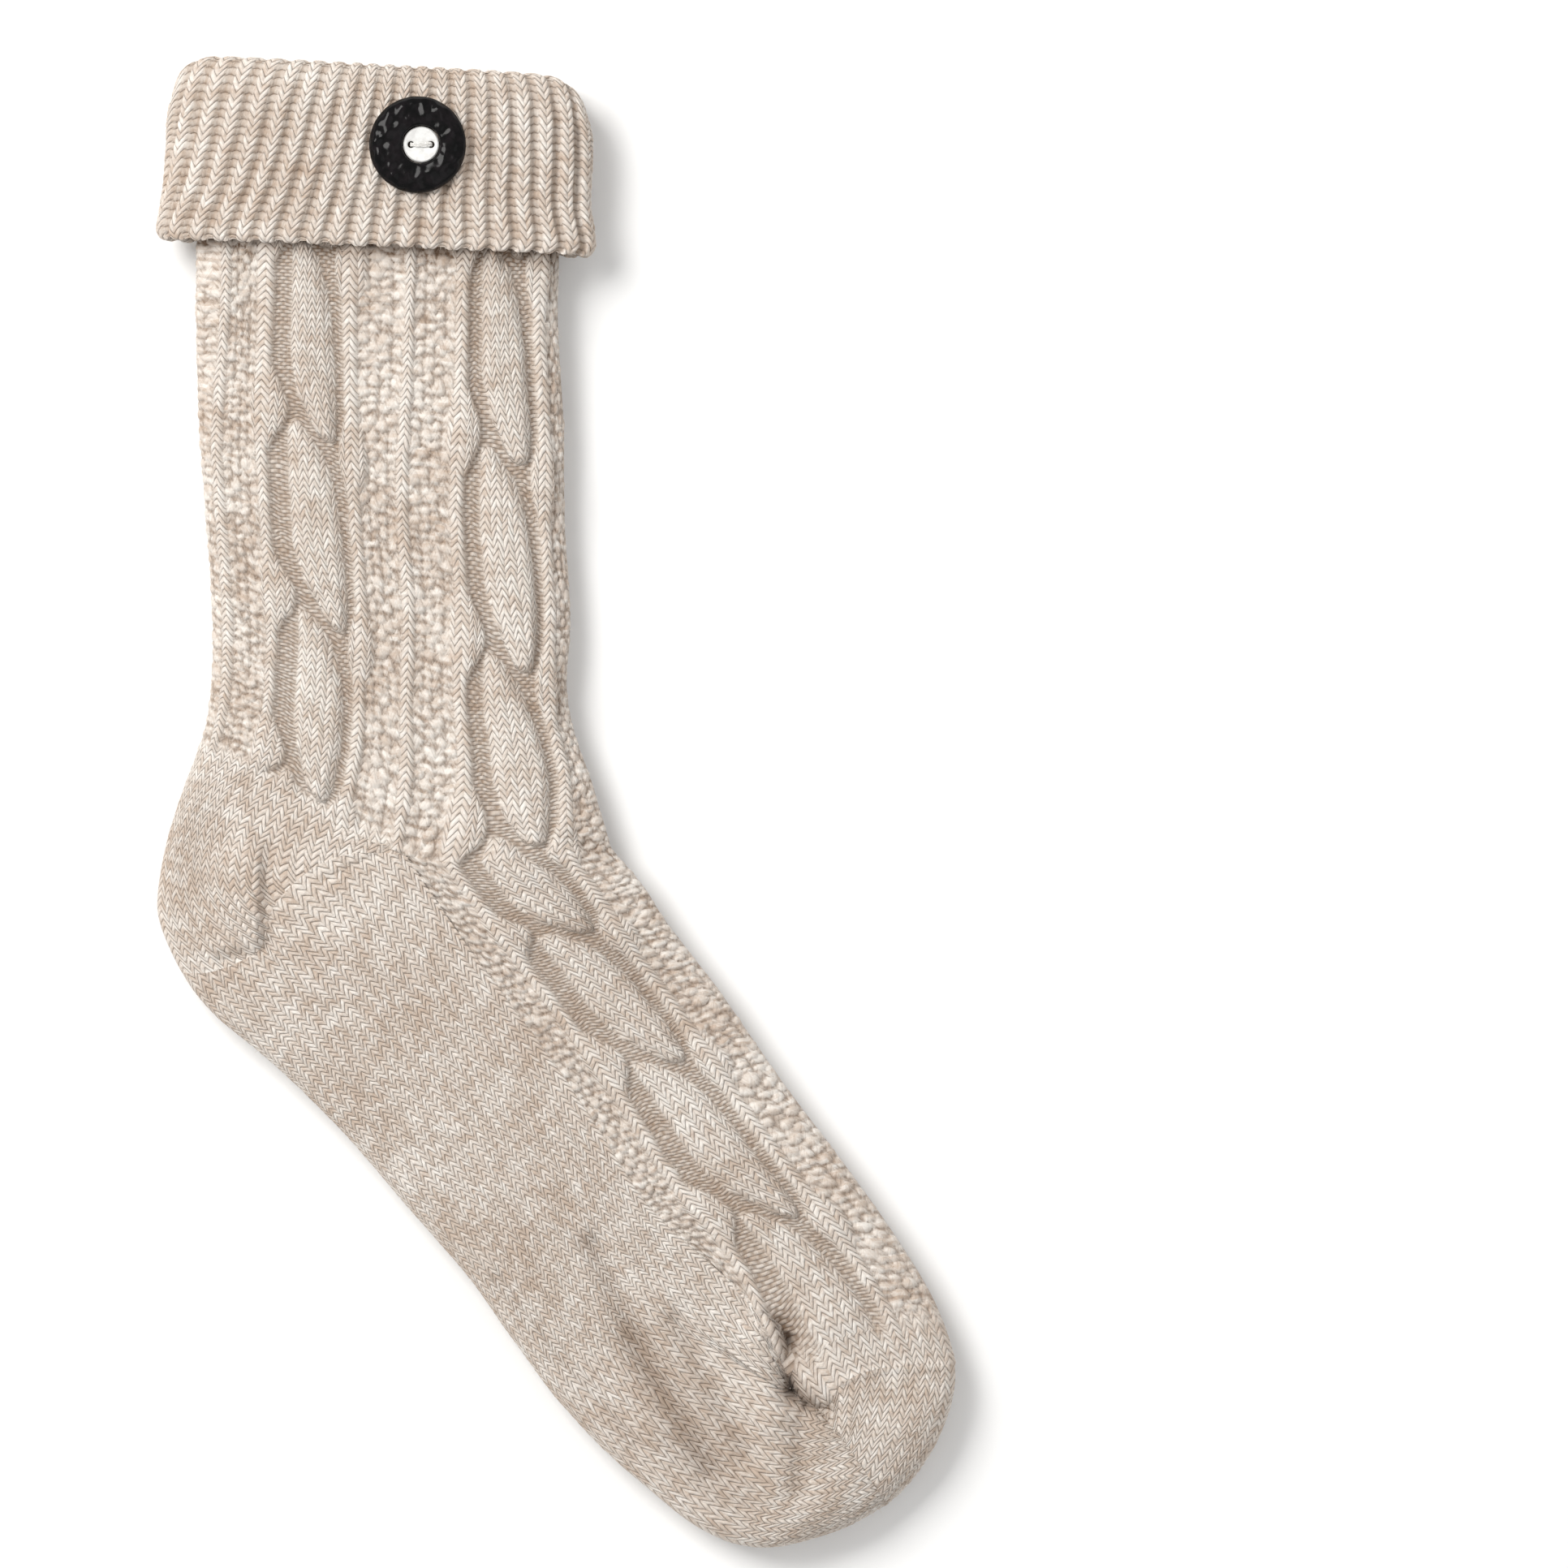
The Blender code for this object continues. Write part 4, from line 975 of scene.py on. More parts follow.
# ---------------------------------------------------------------- the knit body
def build_body(wool, plain):
    up_wales = np.arange(-2 * NU, 38 * NU + 1) / NU
    lo_wales = np.arange(-2 * NU_LOW, 38 * NU_LOW + 1) / NU_LOW
    made = {}
    for upper, wales, n in ((True, up_wales, NU), (False, lo_wales, NU_LOW)):
        U = lambda XY, w: np.broadcast_to(w[None], XY.shape[:2]).copy()
        split = int((GORE + 2) * n)
        XY, V = leg_plan(wales, NV)
        # the pattern dies out just before the plain heel
        fade = smooth01((V - 73.6) / 2.4) * smooth01((GORE - 0.5 - U(XY, wales)) / 1.5)
        leg = raise_patch(XY, U(XY, wales), V, upper, cable_relief, fade)
        # painted shade on the leg's first courses just under the cuff hem, where the flap shades them
        leg[1]["shade"] = np.maximum(leg[1]["shade"], 0.95 * (1 - smooth01((V - 0.3) / 3.2)))
        ankle = XY[-1]
        back_w, front_w = wales[:split + 1], wales[split:]
        XYi, Vi = step_plan(front_w, NV, ankle[split:])
        Ui = U(XYi, front_w)
        fade = smooth01((Vi - 154.0) / 6.0) * (1 - smooth01((Ui - 25.5) / 1.5))
        fade = np.maximum(fade, 0.9 * smooth01((Vi - 155.5) / 6.0))
        step = raise_patch(XYi, Ui, Vi, upper, cable_relief, fade)
        XYs, Vs = sole_plan(back_w, NV)
        XYs[:, -1] = XYi[:, 0]
        sole = raise_patch(XYs, U(XYs, back_w), Vs, upper, plain_relief)
        heel_rows = 30 * NV + 1
        XYh, Vh = heel_plan(back_w, ankle[:split + 1], heel_rows)
        heel = raise_patch(XYh, U(XYh, back_w), Vh, upper, plain_relief)
        XYl, Vl = heel_low_plan(back_w, XYh[-1], XYs[0], 20 * NV + 1)
        low = raise_patch(XYl, U(XYl, back_w), Vl, upper, plain_relief)
        t_split = int(15 * n)
        toe_w = back_w[:t_split + 1]
        XYt, Vt = toe_low_plan(toe_w, XYs[-1, :t_split + 1], 21 * NV + 1)
        toe_low = raise_patch(XYt, U(XYt, toe_w), Vt, upper, plain_relief)
        # the instep side of the toe starts where the seam leaves the pouch (wale 25)
        seam = XYi[-1, int(5 * n):]
        mitre = XYt[-1, ::-1]
        hi_w = np.linspace(0, TOE_WALES, len(seam))
        mit = np.stack([np.interp(hi_w / TOE_WALES, np.linspace(0, 1, len(mitre)), mitre[:, j]) for j in (0, 1)], -1)
        XYq, Vq = toe_high_plan(hi_w, seam, mit, 21 * NV + 1)
        toe_high = raise_patch(XYq, U(XYq, hi_w), Vq, upper, plain_relief)
        parts = dict(leg=leg, step=step, sole=sole, heel=heel, low=low, toe_low=toe_low, toe_high=toe_high)
        # neighbours share their borders
        P = {k: v[0] for k, v in parts.items()}
        avg = (P["leg"][-1] + np.concatenate([P["heel"][0][:-1], P["step"][0]])) / 2
        P["leg"][-1] = avg
        P["heel"][0] = avg[:split + 1]
        P["step"][0] = avg[split:]
        P["low"][0] = P["heel"][-1] = (P["low"][0] + P["heel"][-1]) / 2
        P["low"][-1] = P["sole"][0] = (P["low"][-1] + P["sole"][0]) / 2
        P["sole"][:, -1] = P["step"][:, 0] = (P["sole"][:, -1] + P["step"][:, 0]) / 2
        P["heel"][:, -1] = P["step"][0, 0]
        P["low"][:, -1] = P["step"][0, 0]
        P["toe_low"][0] = P["sole"][-1, :t_split + 1] = (P["toe_low"][0] + P["sole"][-1, :t_split + 1]) / 2
        P["toe_high"][0] = P["step"][-1, int(5 * n):] = (P["toe_high"][0] + P["step"][-1, int(5 * n):]) / 2
        made[upper] = parts
    # upper and lower skin share the silhouette
    for key in made[True]:
        a, b = made[True][key][0], made[False][key][0]
        if key in ("leg", "sole", "heel", "low", "toe_low"):
            b[:, 0] = a[:, 0]
        if key in ("leg", "step", "toe_high"):
            b[:, -1] = a[:, -1]
    def out(name, keys, upper, mat):
        return grid_mesh(name, [(*made[upper][k], not upper) for k in keys], mat)
    out("leg_knit", ["leg"], True, wool)
    out("instep_knit", ["step"], True, wool)
    out("sole_knit", ["sole"], True, plain)
    out("heel_knit", ["heel", "low"], True, plain)
    out("toe_knit", ["toe_low", "toe_high"], True, plain)
    out("leg_underside", ["leg"], False, wool)
    out("instep_underside", ["step"], False, wool)
    out("foot_underside", ["sole", "heel", "low", "toe_low", "toe_high"], False, plain)
    return made


def build_lining(material):
    """Inside of the tube: the purl face of the fabric, seen through the mouth."""
    n, m = 96, 150
    t = np.linspace(0, 25.6, m)
    ang = 2 * math.pi * np.arange(n + 1) / n
    S = section(t)
    a = np.hypot(S[:, 2] - S[:, 0], S[:, 3] - S[:, 1]) / 2 - 2.4
    c = (S[:, 0:2] + S[:, 2:4]) / 2
    d = (S[:, 2:4] - S[:, 0:2]) / (2 * (a + 2.4))[:, None]
    q = -a[:, None] * spow(np.cos(ang), 2 / POW_X)[None]
    xy = c[:, None] + d[:, None] * q[..., None]
    half, rise = S[:, 4:5], S[:, 5:6]
    s = np.sin(ang)[None]
    up = rise + half + (half - 2.4) * spow(np.maximum(s, 0), 2 / POW_Z)
    lo = np.maximum(rise + 2.4, rise + half + (half * LOW_FULL - 2.4) * spow(np.minimum(s, 0), 2 / POW_Z))
    z = np.where(s >= 0, up + fold_height(xy[..., 0], xy[..., 1]) * np.minimum(1, np.abs(s) * 1.6), lo)
    P = np.concatenate([xy, z[..., None]], -1)
    V = np.broadcast_to((t * 9.0)[:, None], z.shape)
    U = np.broadcast_to(np.linspace(0, 80, n + 1)[None], z.shape)
    one = np.ones_like(z)
    data = dict(U=U, V=V, tone=0.5 * one, w=np.stack([0 * one, one, 0 * one], -1))
    grid_mesh("leg_lining", [(P, data, True)], material)


# ---------------------------------------------------------------- the cuff
CROWS = np.array([r[1:] for r in CUFF], float)


def cuff_surface(r, frac):
    """Cuff skin at profile position r (row number of the table, cyclic) and share of the way round, 0 at the back edge."""
    n = len(CROWS)
    i = np.floor(r).astype(int)
    f = (r - i)[..., None]
    p0, p1, p2, p3 = (CROWS[(i + k) % n] for k in (-1, 0, 1, 2))
    v = 0.5 * (2 * p1 + (p2 - p0) * f + (2 * p0 - 5 * p1 + 4 * p2 - p3) * f ** 2 + (3 * p1 - p0 - 3 * p2 + p3) * f ** 3)
    y0, mx, hw, up, low, flat, corner, tilt = np.moveaxis(v, -1, 0)
    ang = RING_ANG(frac)
    c, s = np.cos(ang), np.sin(ang)
    x = mx - hw * spow(c, 2 / POW_X)
    y = y0 + tilt * (x - mx) - corner * CUFF_CORNER * np.abs(c) ** CUFF_CORNER_POW
    z = np.where(s >= 0, CUFF_Z + up * spow(np.maximum(s, 0), 2 / POW_Z),
                 np.maximum(np.maximum(flat, 0.35), CUFF_Z + low * spow(np.minimum(s, 0), 2 / POW_Z)))
    return np.stack([x, y, z], -1)


_ang = np.linspace(0, 2 * math.pi, 4001)
_rx = -52.0 * spow(np.cos(_ang), 2 / POW_X)
_rz = np.where(np.sin(_ang) >= 0, 11.6, 13.0) * spow(np.sin(_ang), 2 / POW_Z)
_rs = np.concatenate([[0], np.cumsum(np.hypot(np.diff(_rx), np.diff(_rz)))])
_rs /= _rs[-1]


def RING_ANG(frac):
    return np.interp(np.mod(frac, 1.0), _rs, _ang) + 2 * math.pi * np.floor(frac)


RIBS = 40              # knit ribs round the cuff
LEAN_KNOTS = ((0.0, 0.80), (0.10, 1.00), (0.18, 0.85), (0.25, 0.50), (0.33, 0.15), (0.40, -0.02), (0.5, -0.08),
              (0.75, 0.30), (1.0, 0.80))


def lean(frac):
    k = np.array(LEAN_KNOTS)
    return np.interp(np.mod(frac, 1.0), k[:, 0], k[:, 1])


def rib_relief(cell, V):
    """1x1 rib: proud knit ribs and deep purl channels between them. cell counts ribs round the cuff."""
    f = cell - np.floor(cell)
    knit_part = 0.64
    inside = f < knit_part
    fu = np.where(inside, f / knit_part, (f - knit_part) / (1 - knit_part))
    U = np.floor(cell) * 2 + np.where(inside, 0.0, 1.0) + np.clip(fu, 1e-4, 1 - 1e-4)
    knit = smooth01((f + 0.03) / 0.06) * (1 - smooth01((f - knit_part + 0.03) / 0.06))
    crown = np.sin(math.pi * np.clip(f / knit_part, 0, 1)) ** 0.7
    a, r = arm(U, V, RIB_STEEP), rung(U, V)
    h = knit * (0.70 * crown + 0.55 * a) + (1 - knit) * (-1.10 + 0.40 * r)
    tone = knit * a + (1 - knit) * 0.6 * r
    return h, tone, np.stack([knit, 1 - knit, 0 * knit], -1), U


def build_cuff(rib, plain):
    # mesh columns across one rib and channel: fine on the side that shows, coarser underneath
    fine = np.concatenate([np.linspace(0, 0.64, 12)[:-1], np.linspace(0.64, 1.0, 5)[:-1]])
    coarse = np.array((0.0, 0.16, 0.32, 0.48, 0.64, 0.76, 0.88))
    cells = np.concatenate([(fine if k < RIBS // 2 + 1 or k == RIBS - 1 else coarse) + k for k in range(RIBS)] + [[RIBS]])
    frac0 = cells / RIBS
    # profile length along the flap, at the middle of the upper side
    rr = np.linspace(3.0, 12.0, 1201)
    mid = cuff_surface(rr, np.full_like(rr, 0.25))
    s = np.concatenate([[0], np.cumsum(np.linalg.norm(np.diff(mid, axis=0), axis=1))])
    rows = int(round(s[-1] / COURSE * NV))
    sv = np.linspace(0, s[-1], rows + 1)
    r = np.interp(sv, s, rr)
    hem_s = np.interp(11.0, rr, s)
    shift = lean(frac0)[None] * 11.4 / (2 * 127.0) * np.clip((hem_s - sv) / 42.0, 0, 1.1)[:, None]
    frac = frac0[None] + shift
    R = np.broadcast_to(r[:, None], frac.shape)
    P = cuff_surface(R, frac)
    V = np.broadcast_to((-sv / CUFF_COURSE)[:, None], frac.shape).copy()
    cell = np.broadcast_to(cells[None], frac.shape).copy()
    Pn = np.gradient(P, axis=1), np.gradient(P, axis=0)
    n = np.cross(Pn[0], Pn[1])
    n /= np.maximum(np.linalg.norm(n, axis=-1, keepdims=True), 1e-9)
    centre = np.stack([np.full(P.shape[:2], -44.0), P[..., 1], np.full(P.shape[:2], CUFF_Z)], -1)
    if np.sum(n[rows // 2] * (P - centre)[rows // 2]) < 0:
        n = -n
    cell = cell + 0.05 * (soft_noise(cell * 0.9, V * 0.35, 2.0) - 0.5)
    V = V + 0.36 * (soft_noise(cell * 1.7, V * 0.4, 5.0) - 0.5)
    h, tone, w, U = rib_relief(cell, V)
    inner = smooth01((sv - 0.0) / 4.0)[:, None]
    # the ribs flatten out over the fold and at the free edge
    calm = smooth01((sv - 9.0) / 9.0) * (1 - 0.55 * smooth01((sv - hem_s + 9.0) / 7.0))
    h = h * (0.45 + 0.55 * calm)[:, None] - 0.95 * (1 - calm)[:, None] * np.clip(np.abs(n[..., 1]) * 1.3, 0, 1)
    hem = 1 - smooth01((sv - hem_s + 1.5) / 5.0)[:, None]
    low = np.where(P[..., 2] < 3.0, 0.45, 1.0)
    Pd = P + n * ((h - 0.30) * np.maximum(0.45, inner * hem) * low)[..., None]
    # a rolled, slightly wavy free edge
    Pd[..., 1] += (1 - hem) * (0.22 * np.cos(2 * math.pi * (cell - 0.32)) + 0.9 * (soft_noise(cell * 0.45, 0 * cell, 8.0) - 0.5))
    Pd[..., 2] = np.maximum(Pd[..., 2], 0.05)
    Pd[:, -1] = Pd[:, 0]
    flap = grid_mesh("cuff_flap", [(Pd, dict(U=U, V=V, tone=tone, w=w), False)], rib)
    # the rest of the loop: lining, leg wall and inside
    pick = np.arange(0, len(cells), 3)
    c2 = cells[pick]
    rr2 = np.linspace(12.0, 23.0, 90)
    F2 = np.broadcast_to((c2 / RIBS)[None], (90, len(c2))).copy()
    F2 += lean(c2 / RIBS)[None] * (11.4 / 254.0) * np.linspace(0, 1, 90)[:, None] * 1.0
    P2 = cuff_surface(np.broadcast_to(rr2[:, None], F2.shape), F2)
    g = np.cross(np.gradient(P2, axis=1), np.gradient(P2, axis=0))
    g /= np.maximum(np.linalg.norm(g, axis=-1, keepdims=True), 1e-9)
    mid2 = cuff_surface(rr2, np.full_like(rr2, 0.25))
    s2 = np.concatenate([[0], np.cumsum(np.linalg.norm(np.diff(mid2, axis=0), axis=1))])
    V2 = np.broadcast_to((-s2 / CUFF_COURSE)[:, None], F2.shape)
    C2 = np.broadcast_to(c2[None], F2.shape)
    h2, tone2, w2, U2 = rib_relief(C2 + 0.5, V2)
    P2 = P2 + g * (0.22 * h2 * np.sin(math.pi * np.linspace(0, 1, 90))[:, None])[..., None] * (1 if np.sum(g[45, 20] * n[rows // 2, 60]) > 0 else 1)
    P2[0] = Pd[-1][pick]
    P2[-1] = Pd[0][pick]
    P2[:, -1] = P2[:, 0]
    grid_mesh("cuff_inside", [(P2, dict(U=U2, V=V2, tone=tone2, w=w2), False)], rib)
    return Pd


# ---------------------------------------------------------------- button
BUTTON_AT = (-33.6, 161.7)
BUTTON_BASE, BUTTON_R, BUTTON_H, BUTTON_BORE_R = 23.7, 12.0, 3.4, 4.7
INLAY_SHIFT, INLAY_R, INLAY_H, HOLE_R, HOLE_APART, THREAD_R = 0.9, 4.4, 2.2, 0.85, 5.0, 0.45
RIM_COLUMNS = ("name", "radius", "height", "unevenness", "inlay_centred")
RIM = (
    ("bore_low", 4.7, 0.0, 0.0, 1.0), ("bore_mid", 4.7, 1.3, 0.1, 1.0), ("bore_top", 4.72, 2.45, 0.3, 1.0),
    ("lip_a", 4.85, 2.85, 0.4, 1.0), ("lip_b", 5.15, 3.1, 0.5, 0.9), ("slope_a", 5.8, 3.22, 0.8, 0.6),
    ("slope_b", 6.7, 3.34, 1.0, 0.3), ("crown_a", 7.7, 3.42, 1.2, 0.0), ("crown_b", 8.6, 3.42, 1.4, 0.0),
    ("shoulder_a", 9.5, 3.32, 1.6, 0.0), ("shoulder_b", 10.3, 3.1, 1.7, 0.0), ("shoulder_c", 11.0, 2.72, 1.5, 0.0),
    ("edge_a", 11.5, 2.2, 1.2, 0.0), ("edge_b", 11.85, 1.6, 0.8, 0.0), ("edge_c", 11.9, 1.0, 0.4, 0.0),
    ("edge_d", 11.6, 0.45, 0.1, 0.0), ("foot_a", 11.0, 0.1, 0.0, 0.0), ("foot_b", 10.2, 0.0, 0.0, 0.0),
)


def hammered(x, y, ang):
    """Uneven dents of a beaten surface, in mm."""
    h = 0.0
    for fx, fy, ph, amp in ((0.95, 0.32, 0.4, 0.10), (-0.41, 1.02, 1.9, 0.10), (0.62, -1.31, 3.3, 0.08),
                            (1.55, 0.85, 5.1, 0.06), (-1.2, 1.6, 0.9, 0.05), (1.95, 0.22, 2.2, 0.10)):
        h = h + amp * np.sin(fx * x + fy * y + ph + 0.8 * np.sin(0.7 * y - 0.5 * x + ph))
    return 0.6 * h + 0.02 * np.sin(ang * 17 + 2.6 * np.sin(ang * 3 + 1))


def disc_mesh(name, P, faces, material, replaced):
    me = bpy.data.meshes.new(name)
    me.from_pydata([tuple(p) for p in to_frame(np.asarray(P, float))], [], faces)
    me.update()
    for poly in me.polygons:
        poly.use_smooth = True
    me.materials.append(material)
    ob = bpy.data.objects.new(name, me)
    bpy.context.scene.collection.objects.link(ob)
    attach(ob, "root")
    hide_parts(*replaced)
    return ob


def build_button(black, white, thread):
    n = 180
    ang = 2 * math.pi * np.arange(n) / n
    prof = np.array([r[1:] for r in RIM])
    fine = np.linspace(0, len(prof) - 1, 52)
    prof = np.stack([spline(np.arange(len(prof)), prof[:, j], fine) for j in range(4)], -1)
    P = []
    for r, z, share, inl in prof:
        shift = INLAY_SHIFT * inl
        x = shift + r * np.cos(ang)
        y = r * np.sin(ang)
        w = hammered(x, y, ang) * share
        rr = 1 + 0.35 * w / 12.0 * (r > 9)
        P.append(np.stack([BUTTON_AT[0] + x * rr, BUTTON_AT[1] + y * rr, BUTTON_BASE + np.maximum(z + w * (z > 0.3), 0.0)], -1))
    m = len(P)
    V = np.concatenate(P)
    faces = [(i * n + k, i * n + (k + 1) % n, ((i + 1) % m) * n + (k + 1) % n, ((i + 1) % m) * n + k)
             for i in range(m) for k in range(n)]
    disc_mesh("button_rim_gloss", V, faces, black, ("button_rim",))
    # white middle: dished disc with two holes, made as a radial sheet around each hole
    cx, cy = BUTTON_AT[0] + INLAY_SHIFT, BUTTON_AT[1]
    zt = BUTTON_BASE + INLAY_H
    import bmesh
    bm = bmesh.new()
    from mathutils.geometry import delaunay_2d_cdt
    pts, edges = [], []

    def loop(x0, y0, r, k):
        s = len(pts)
        for i in range(k):
            a = 2 * math.pi * i / k
            pts.append(Vector((x0 + r * math.cos(a), y0 + r * math.sin(a))))
        edges.extend((s + i, s + (i + 1) % k) for i in range(k))
        return list(range(s, s + k))
    outer = loop(0, 0, INLAY_R, 96)
    holes = [loop(sx * HOLE_APART / 2, 0, HOLE_R, 28) for sx in (-1, 1)]
    for ring, k in ((4.1, 80), (3.7, 72), (3.2, 60), (2.6, 48), (1.9, 36), (1.2, 24), (0.5, 12)):
        for i in range(k):
            a = 2 * math.pi * (i + 0.5) / k
            x, y = ring * math.cos(a), ring * math.sin(a)
            if min(math.hypot(x - 2.5, y), math.hypot(x + 2.5, y)) > HOLE_R + 0.12:
                pts.append(Vector((x, y)))
    for sx in (-1, 1):
        for rr_, kk in ((HOLE_R + 0.14, 28), (HOLE_R + 0.32, 28)):
            for i in range(kk):
                a = 2 * math.pi * (i + 0.5) / kk
                pts.append(Vector((sx * 2.5 + rr_ * math.cos(a), rr_ * math.sin(a))))
    v2, _, f2, _, _, _ = delaunay_2d_cdt(pts, edges, [], 0, 1e-5)
    keep = []
    for f in f2:
        mx = sum(v2[i].x for i in f) / len(f)
        my = sum(v2[i].y for i in f) / len(f)
        if math.hypot(mx, my) < INLAY_R and min(math.hypot(mx - 2.5, my), math.hypot(mx + 2.5, my)) > HOLE_R * 0.98:
            keep.append(f)

    def top_z(x, y):
        r = math.hypot(x, y)
        d = min(math.hypot(x - 2.5, y), math.hypot(x + 2.5, y)) - HOLE_R
        dish = 0.32 * min(1.0, (r / 3.6)) ** 2
        bevel = -0.35 * max(0.0, (r - 4.05) / 0.35) ** 2
        lip = -0.22 * math.exp(-max(d, 0) / 0.16)
        return zt - 0.28 + dish + bevel + lip
    N = len(v2)
    V = [(cx + v.x, cy + v.y, top_z(v.x, v.y)) for v in v2] + [(cx + v.x, cy + v.y, BUTTON_BASE + 0.1) for v in v2]
    faces = [tuple(f) for f in keep] + [tuple(i + N for i in reversed(f)) for f in keep]
    border = {}
    for f in keep:
        for i in range(len(f)):
            e = (f[i], f[(i + 1) % len(f)])
            border[e] = border.get(e, 0) + 1
    for (a, b) in list(border):
        if (b, a) not in border:
            faces.append((b, a, a + N, b + N))
    ob = disc_mesh("button_middle_white", V, faces, white, ("button_centre",))
    import bmesh as bmm
    b2 = bmm.new()
    b2.from_mesh(ob.data)
    bmm.ops.delete(b2, geom=[v for v in b2.verts if not v.link_faces], context="VERTS")
    bmm.ops.recalc_face_normals(b2, faces=b2.faces)
    b2.to_mesh(ob.data)
    b2.free()
    ob.data.set_sharp_from_angle(angle=math.radians(40))
    # thread: several turns of two-ply cotton through the holes
    V, faces = [], []
    h = HOLE_APART / 2
    zb, zt2 = BUTTON_BASE + 0.1, BUTTON_BASE + INLAY_H - 0.02
    for lane, (dy, lift) in enumerate(((-0.42, 0.0), (0.0, 0.06), (0.42, 0.02), (0.2, 0.14))):
        path = [(-h + 0.02, zb), (-h, zt2 - 0.5), (-h + 0.28, zt2 - 0.02 + lift * 0.5), (-h + 0.9, zt2 + 0.1 + lift),
                (0, zt2 + 0.16 + lift), (h - 0.9, zt2 + 0.1 + lift), (h - 0.28, zt2 - 0.02 + lift * 0.5), (h, zt2 - 0.5), (h - 0.02, zb)]
        path = np.array(path)
        u = np.linspace(0, len(path) - 1, 72)
        c = spline(np.arange(len(path)), path, u)
        c = np.stack([c[:, 0], dy * 0.8 + 0.10 * np.sin(u * 1.1 + lane), c[:, 1]], -1)
        tang = np.gradient(c, axis=0)
        tang /= np.linalg.norm(tang, axis=1, keepdims=True)
        side = np.array([0, 1.0, 0])
        nrm = np.cross(tang, side)
        nrm /= np.linalg.norm(nrm, axis=1, keepdims=True)
        bi = np.cross(tang, nrm)
        for ply in (0, math.pi):
            tw = u * 3.1 + ply + lane
            cc = c + 0.105 * (np.cos(tw)[:, None] * nrm + np.sin(tw)[:, None] * bi)
            start = len(V)
            seg = 6
            for i in range(len(cc)):
                for j in range(seg):
                    a = 2 * math.pi * j / seg
                    pt = cc[i] + 0.13 * (math.cos(a) * nrm[i] + math.sin(a) * bi[i])
                    V.append((cx + pt[0], cy + pt[1], pt[2]))
            for i in range(len(cc) - 1):
                for j in range(seg):
                    jj = (j + 1) % seg
                    faces.append((start + i * seg + j, start + i * seg + jj, start + (i + 1) * seg + jj, start + (i + 1) * seg + j))
            faces.append(tuple(start + j for j in reversed(range(seg))))
            faces.append(tuple(start + (len(cc) - 1) * seg + j for j in range(seg)))
    ob = disc_mesh("button_sewing_thread", V, faces, thread, ("button_thread",))
    b3 = bmm.new()
    b3.from_mesh(ob.data)
    bmm.ops.recalc_face_normals(b3, faces=b3.faces)
    b3.to_mesh(ob.data)
    b3.free()


# ---------------------------------------------------------------- loose fibres
def build_fuzz(made, cuff, material):
    rng = np.random.default_rng(7)
    seeds = []
    for key, count in (("leg", 5200), ("step", 2600), ("sole", 2600), ("heel", 900), ("low", 500), ("toe_low", 500), ("toe_high", 500)):
        P = made[True][key][0]
        i = rng.integers(1, P.shape[0] - 1, count)
        j = rng.integers(1, P.shape[1] - 1, count)
        du = P[i, j + 1] - P[i, j - 1]
        dv = P[i + 1, j] - P[i - 1, j]
        n = np.cross(du, dv)
        ok = np.linalg.norm(n, axis=1) > 1e-4
        n, i, j = n[ok], i[ok], j[ok]
        n /= np.linalg.norm(n, axis=1, keepdims=True)
        n[n[:, 2] < 0] *= -1
        seeds.append((P[i, j], n))
    i = rng.integers(2, cuff.shape[0] - 2, 2400)
    j = rng.integers(2, cuff.shape[1] // 2, 2400)
    n = np.cross(cuff[i, j + 1] - cuff[i, j - 1], cuff[i + 1, j] - cuff[i - 1, j])
    ok = np.linalg.norm(n, axis=1) > 1e-4
    n = n[ok] / np.linalg.norm(n[ok], axis=1, keepdims=True)
    c = cuff[i[ok], j[ok]]
    out = c - np.array([-44.0, 0, CUFF_Z])
    out[:, 1] = 0
    sgn = np.sign(np.sum(n * out, axis=1))
    seeds.append((c, n * sgn[:, None]))
    base = np.concatenate([s[0] for s in seeds])
    nrm = np.concatenate([s[1] for s in seeds])
    N = len(base)
    length = rng.uniform(0.5, 1.5, N)
    d0 = nrm * 0.5 + rng.normal(0, 0.8, (N, 3))
    d0[:, 2] = np.abs(d0[:, 2]) * 0.6
    d0 /= np.linalg.norm(d0, axis=1, keepdims=True)
    d1 = rng.normal(0, 0.6, (N, 3))
    side = np.cross(d0, rng.normal(0, 1, (N, 3)))
    side /= np.maximum(np.linalg.norm(side, axis=1, keepdims=True), 1e-9)
    wdt = 0.035
    p0 = base - d0 * 0.1
    p1 = base + d0 * (length * 0.5)[:, None]
    p2 = p1 + (d0 + d1 * 0.7) * (length * 0.5)[:, None]
    V = np.stack([p0 - side * wdt, p0 + side * wdt, p1 - side * wdt * 0.8, p1 + side * wdt * 0.8, p2], 1).reshape(-1, 3)
    k = np.arange(N)[:, None] * 5
    tris = np.concatenate([k + np.array([[0, 1, 3]]), k + np.array([[0, 3, 2]]), k + np.array([[2, 3, 4]])])
    me = bpy.data.meshes.new("loose_fibres")
    me.from_pydata([tuple(p) for p in to_frame(V)], [], [tuple(int(a) for a in t) for t in tris])
    me.update()
    me.materials.append(material)
    ob = bpy.data.objects.new("loose_fibres", me)
    bpy.context.scene.collection.objects.link(ob)
    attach(ob, "root")


def fibre_material():
    k = Nodes("fibre")
    co = k.new("ShaderNodeTexCoord").outputs["Object"]
    f = k.noise(co, 150.0, 3.0, 0.6)
    k.put(k.bsdf.inputs["Base Color"], k.mix(f, (0.90, 0.85, 0.78, 1), (0.70, 0.60, 0.50, 1)))
    k.put(k.bsdf.inputs["Roughness"], k.m("ADD", 0.7, k.m("MULTIPLY", f, 0.2)))
    return k.mat


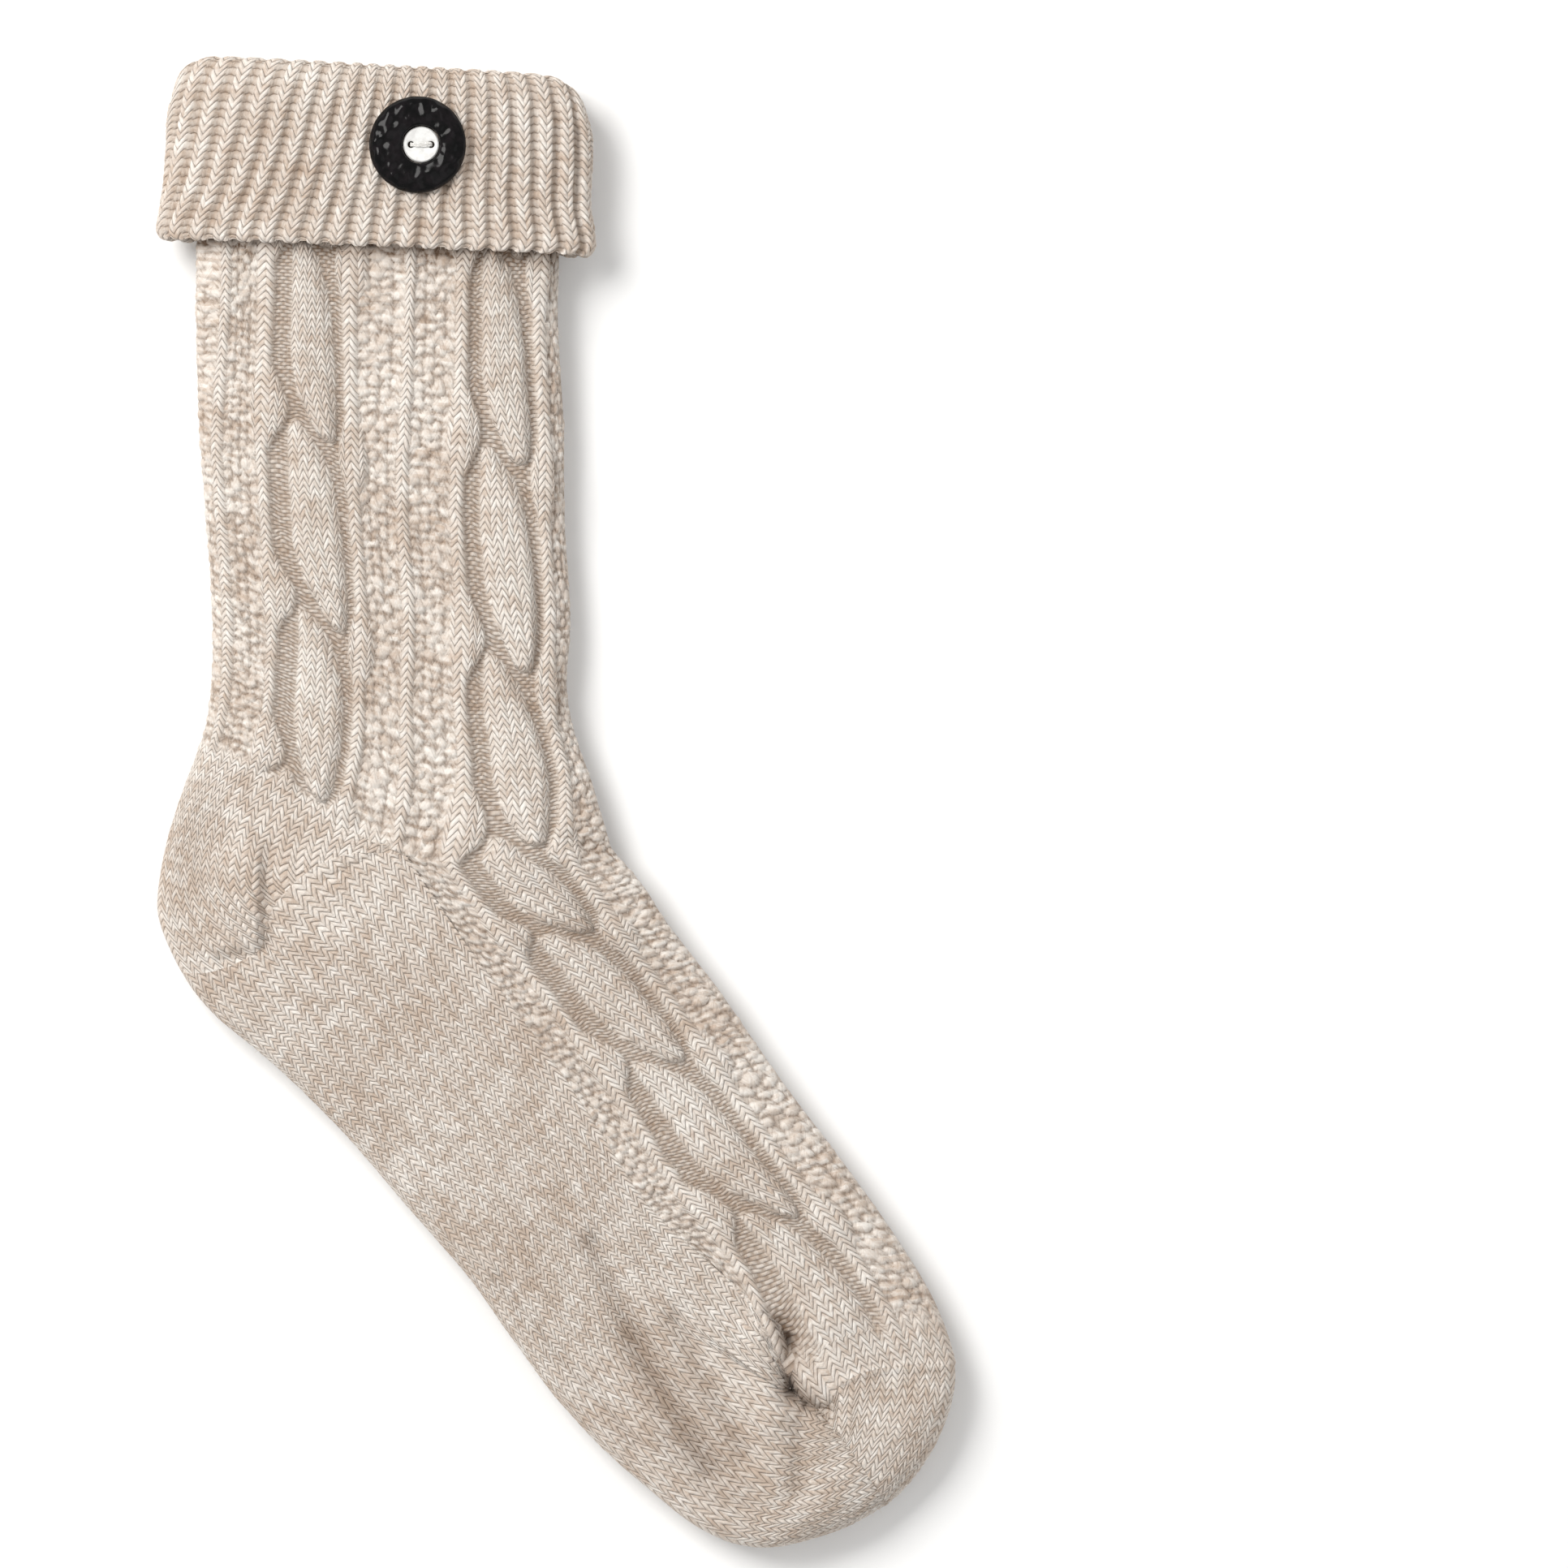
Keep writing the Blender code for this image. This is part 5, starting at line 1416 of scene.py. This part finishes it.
# ---------------------------------------------------------------- floor, light, camera
def build_stage():
    me = bpy.data.meshes.new("floor")
    s = 3.0
    n = 24
    xs = np.linspace(-s, s, n + 1)
    V = [(float(x), float(y), -0.0002) for y in xs for x in xs]
    F = [(j * (n + 1) + i, j * (n + 1) + i + 1, (j + 1) * (n + 1) + i + 1, (j + 1) * (n + 1) + i) for j in range(n) for i in range(n)]
    me.from_pydata(V, [], F)
    me.update()
    me.materials.append(floor_material())
    floor = bpy.data.objects.new("studio_floor", me)
    bpy.context.scene.collection.objects.link(floor)
    floor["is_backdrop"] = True

    world = bpy.data.worlds.new("studio")
    bpy.context.scene.world = world
    world.use_nodes = True
    bg = world.node_tree.nodes["Background"]
    bg.inputs[0].default_value = (1.0, 1.0, 1.0, 1)
    bg.inputs[1].default_value = WORLD_LIGHT

    for name, at, size, power in LIGHTS:
        data = bpy.data.lights.new(name, "AREA")
        data.shape = "RECTANGLE"
        data.size, data.size_y = size
        data.energy = power
        data.color = (1.0, 0.985, 0.965) if name == "key" else (0.97, 0.985, 1.0)
        ob = bpy.data.objects.new(name, data)
        ob.location = at
        d = Vector((0, 0, 0)) - Vector(at)
        ob.rotation_euler = d.to_track_quat("-Z", "Y").to_euler()
        bpy.context.scene.collection.objects.link(ob)

    cam = bpy.data.cameras.new("camera")
    ob = bpy.data.objects.new("camera", cam)
    bpy.context.scene.collection.objects.link(ob)
    # straight down; the field at the sock's middle height is the whole picture, 386.4 mm wide
    cx, cy = (56.4 - MIDDLE[0]) * MM, (4.7 - MIDDLE[1]) * MM
    dist = 2.6
    ob.location = (cx, cy, dist + 0.016)
    ob.rotation_euler = (0, 0, 0)
    cam.type = "PERSP"
    cam.sensor_width = 36.0
    cam.lens = 36.0 * dist / 0.3864
    cam.clip_end = 20.0
    bpy.context.scene.camera = ob
    bpy.context.scene.view_settings.view_transform = "Standard"


WORLD_LIGHT = 0.58
LIGHTS = (  # name, place, size, watts
    ("key", (-0.98, 0.85, 1.60), (1.0, 1.0), 36.5),
    ("fill", (0.9, -0.4, 1.8), (1.6, 1.6), 4.0),
)


def main():
    wool = wool_material("wool_pattern_knit", marl=0.45)
    plain = wool_material("wool_plain_knit", marl=0.58)
    rib = wool_material("wool_rib_knit", marl=0.54, steep=RIB_STEEP, ladder=True)
    made = build_body(wool, plain)
    build_lining(rib)
    cuff = build_cuff(rib, plain)
    build_button(button_black_material(), button_white_material(), thread_material())
    build_fuzz(made, cuff, fibre_material())
    for name, nodes in (("leg_knit", ("sock_leg",)), ("heel_knit", ("sock_heel",)), ("sole_knit", ("sock_foot",)),
                        ("toe_knit", ("sock_toe",)), ("cuff_flap", ("rib_cuff",))):
        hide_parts(*nodes)
    build_stage()
    total = 0
    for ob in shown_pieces():
        if ob.type == "MESH":
            ob.data.calc_loop_triangles()
            print("piece", ob.name, len(ob.data.loop_triangles))
            total += len(ob.data.loop_triangles)
    print("triangles in all", total)


main()
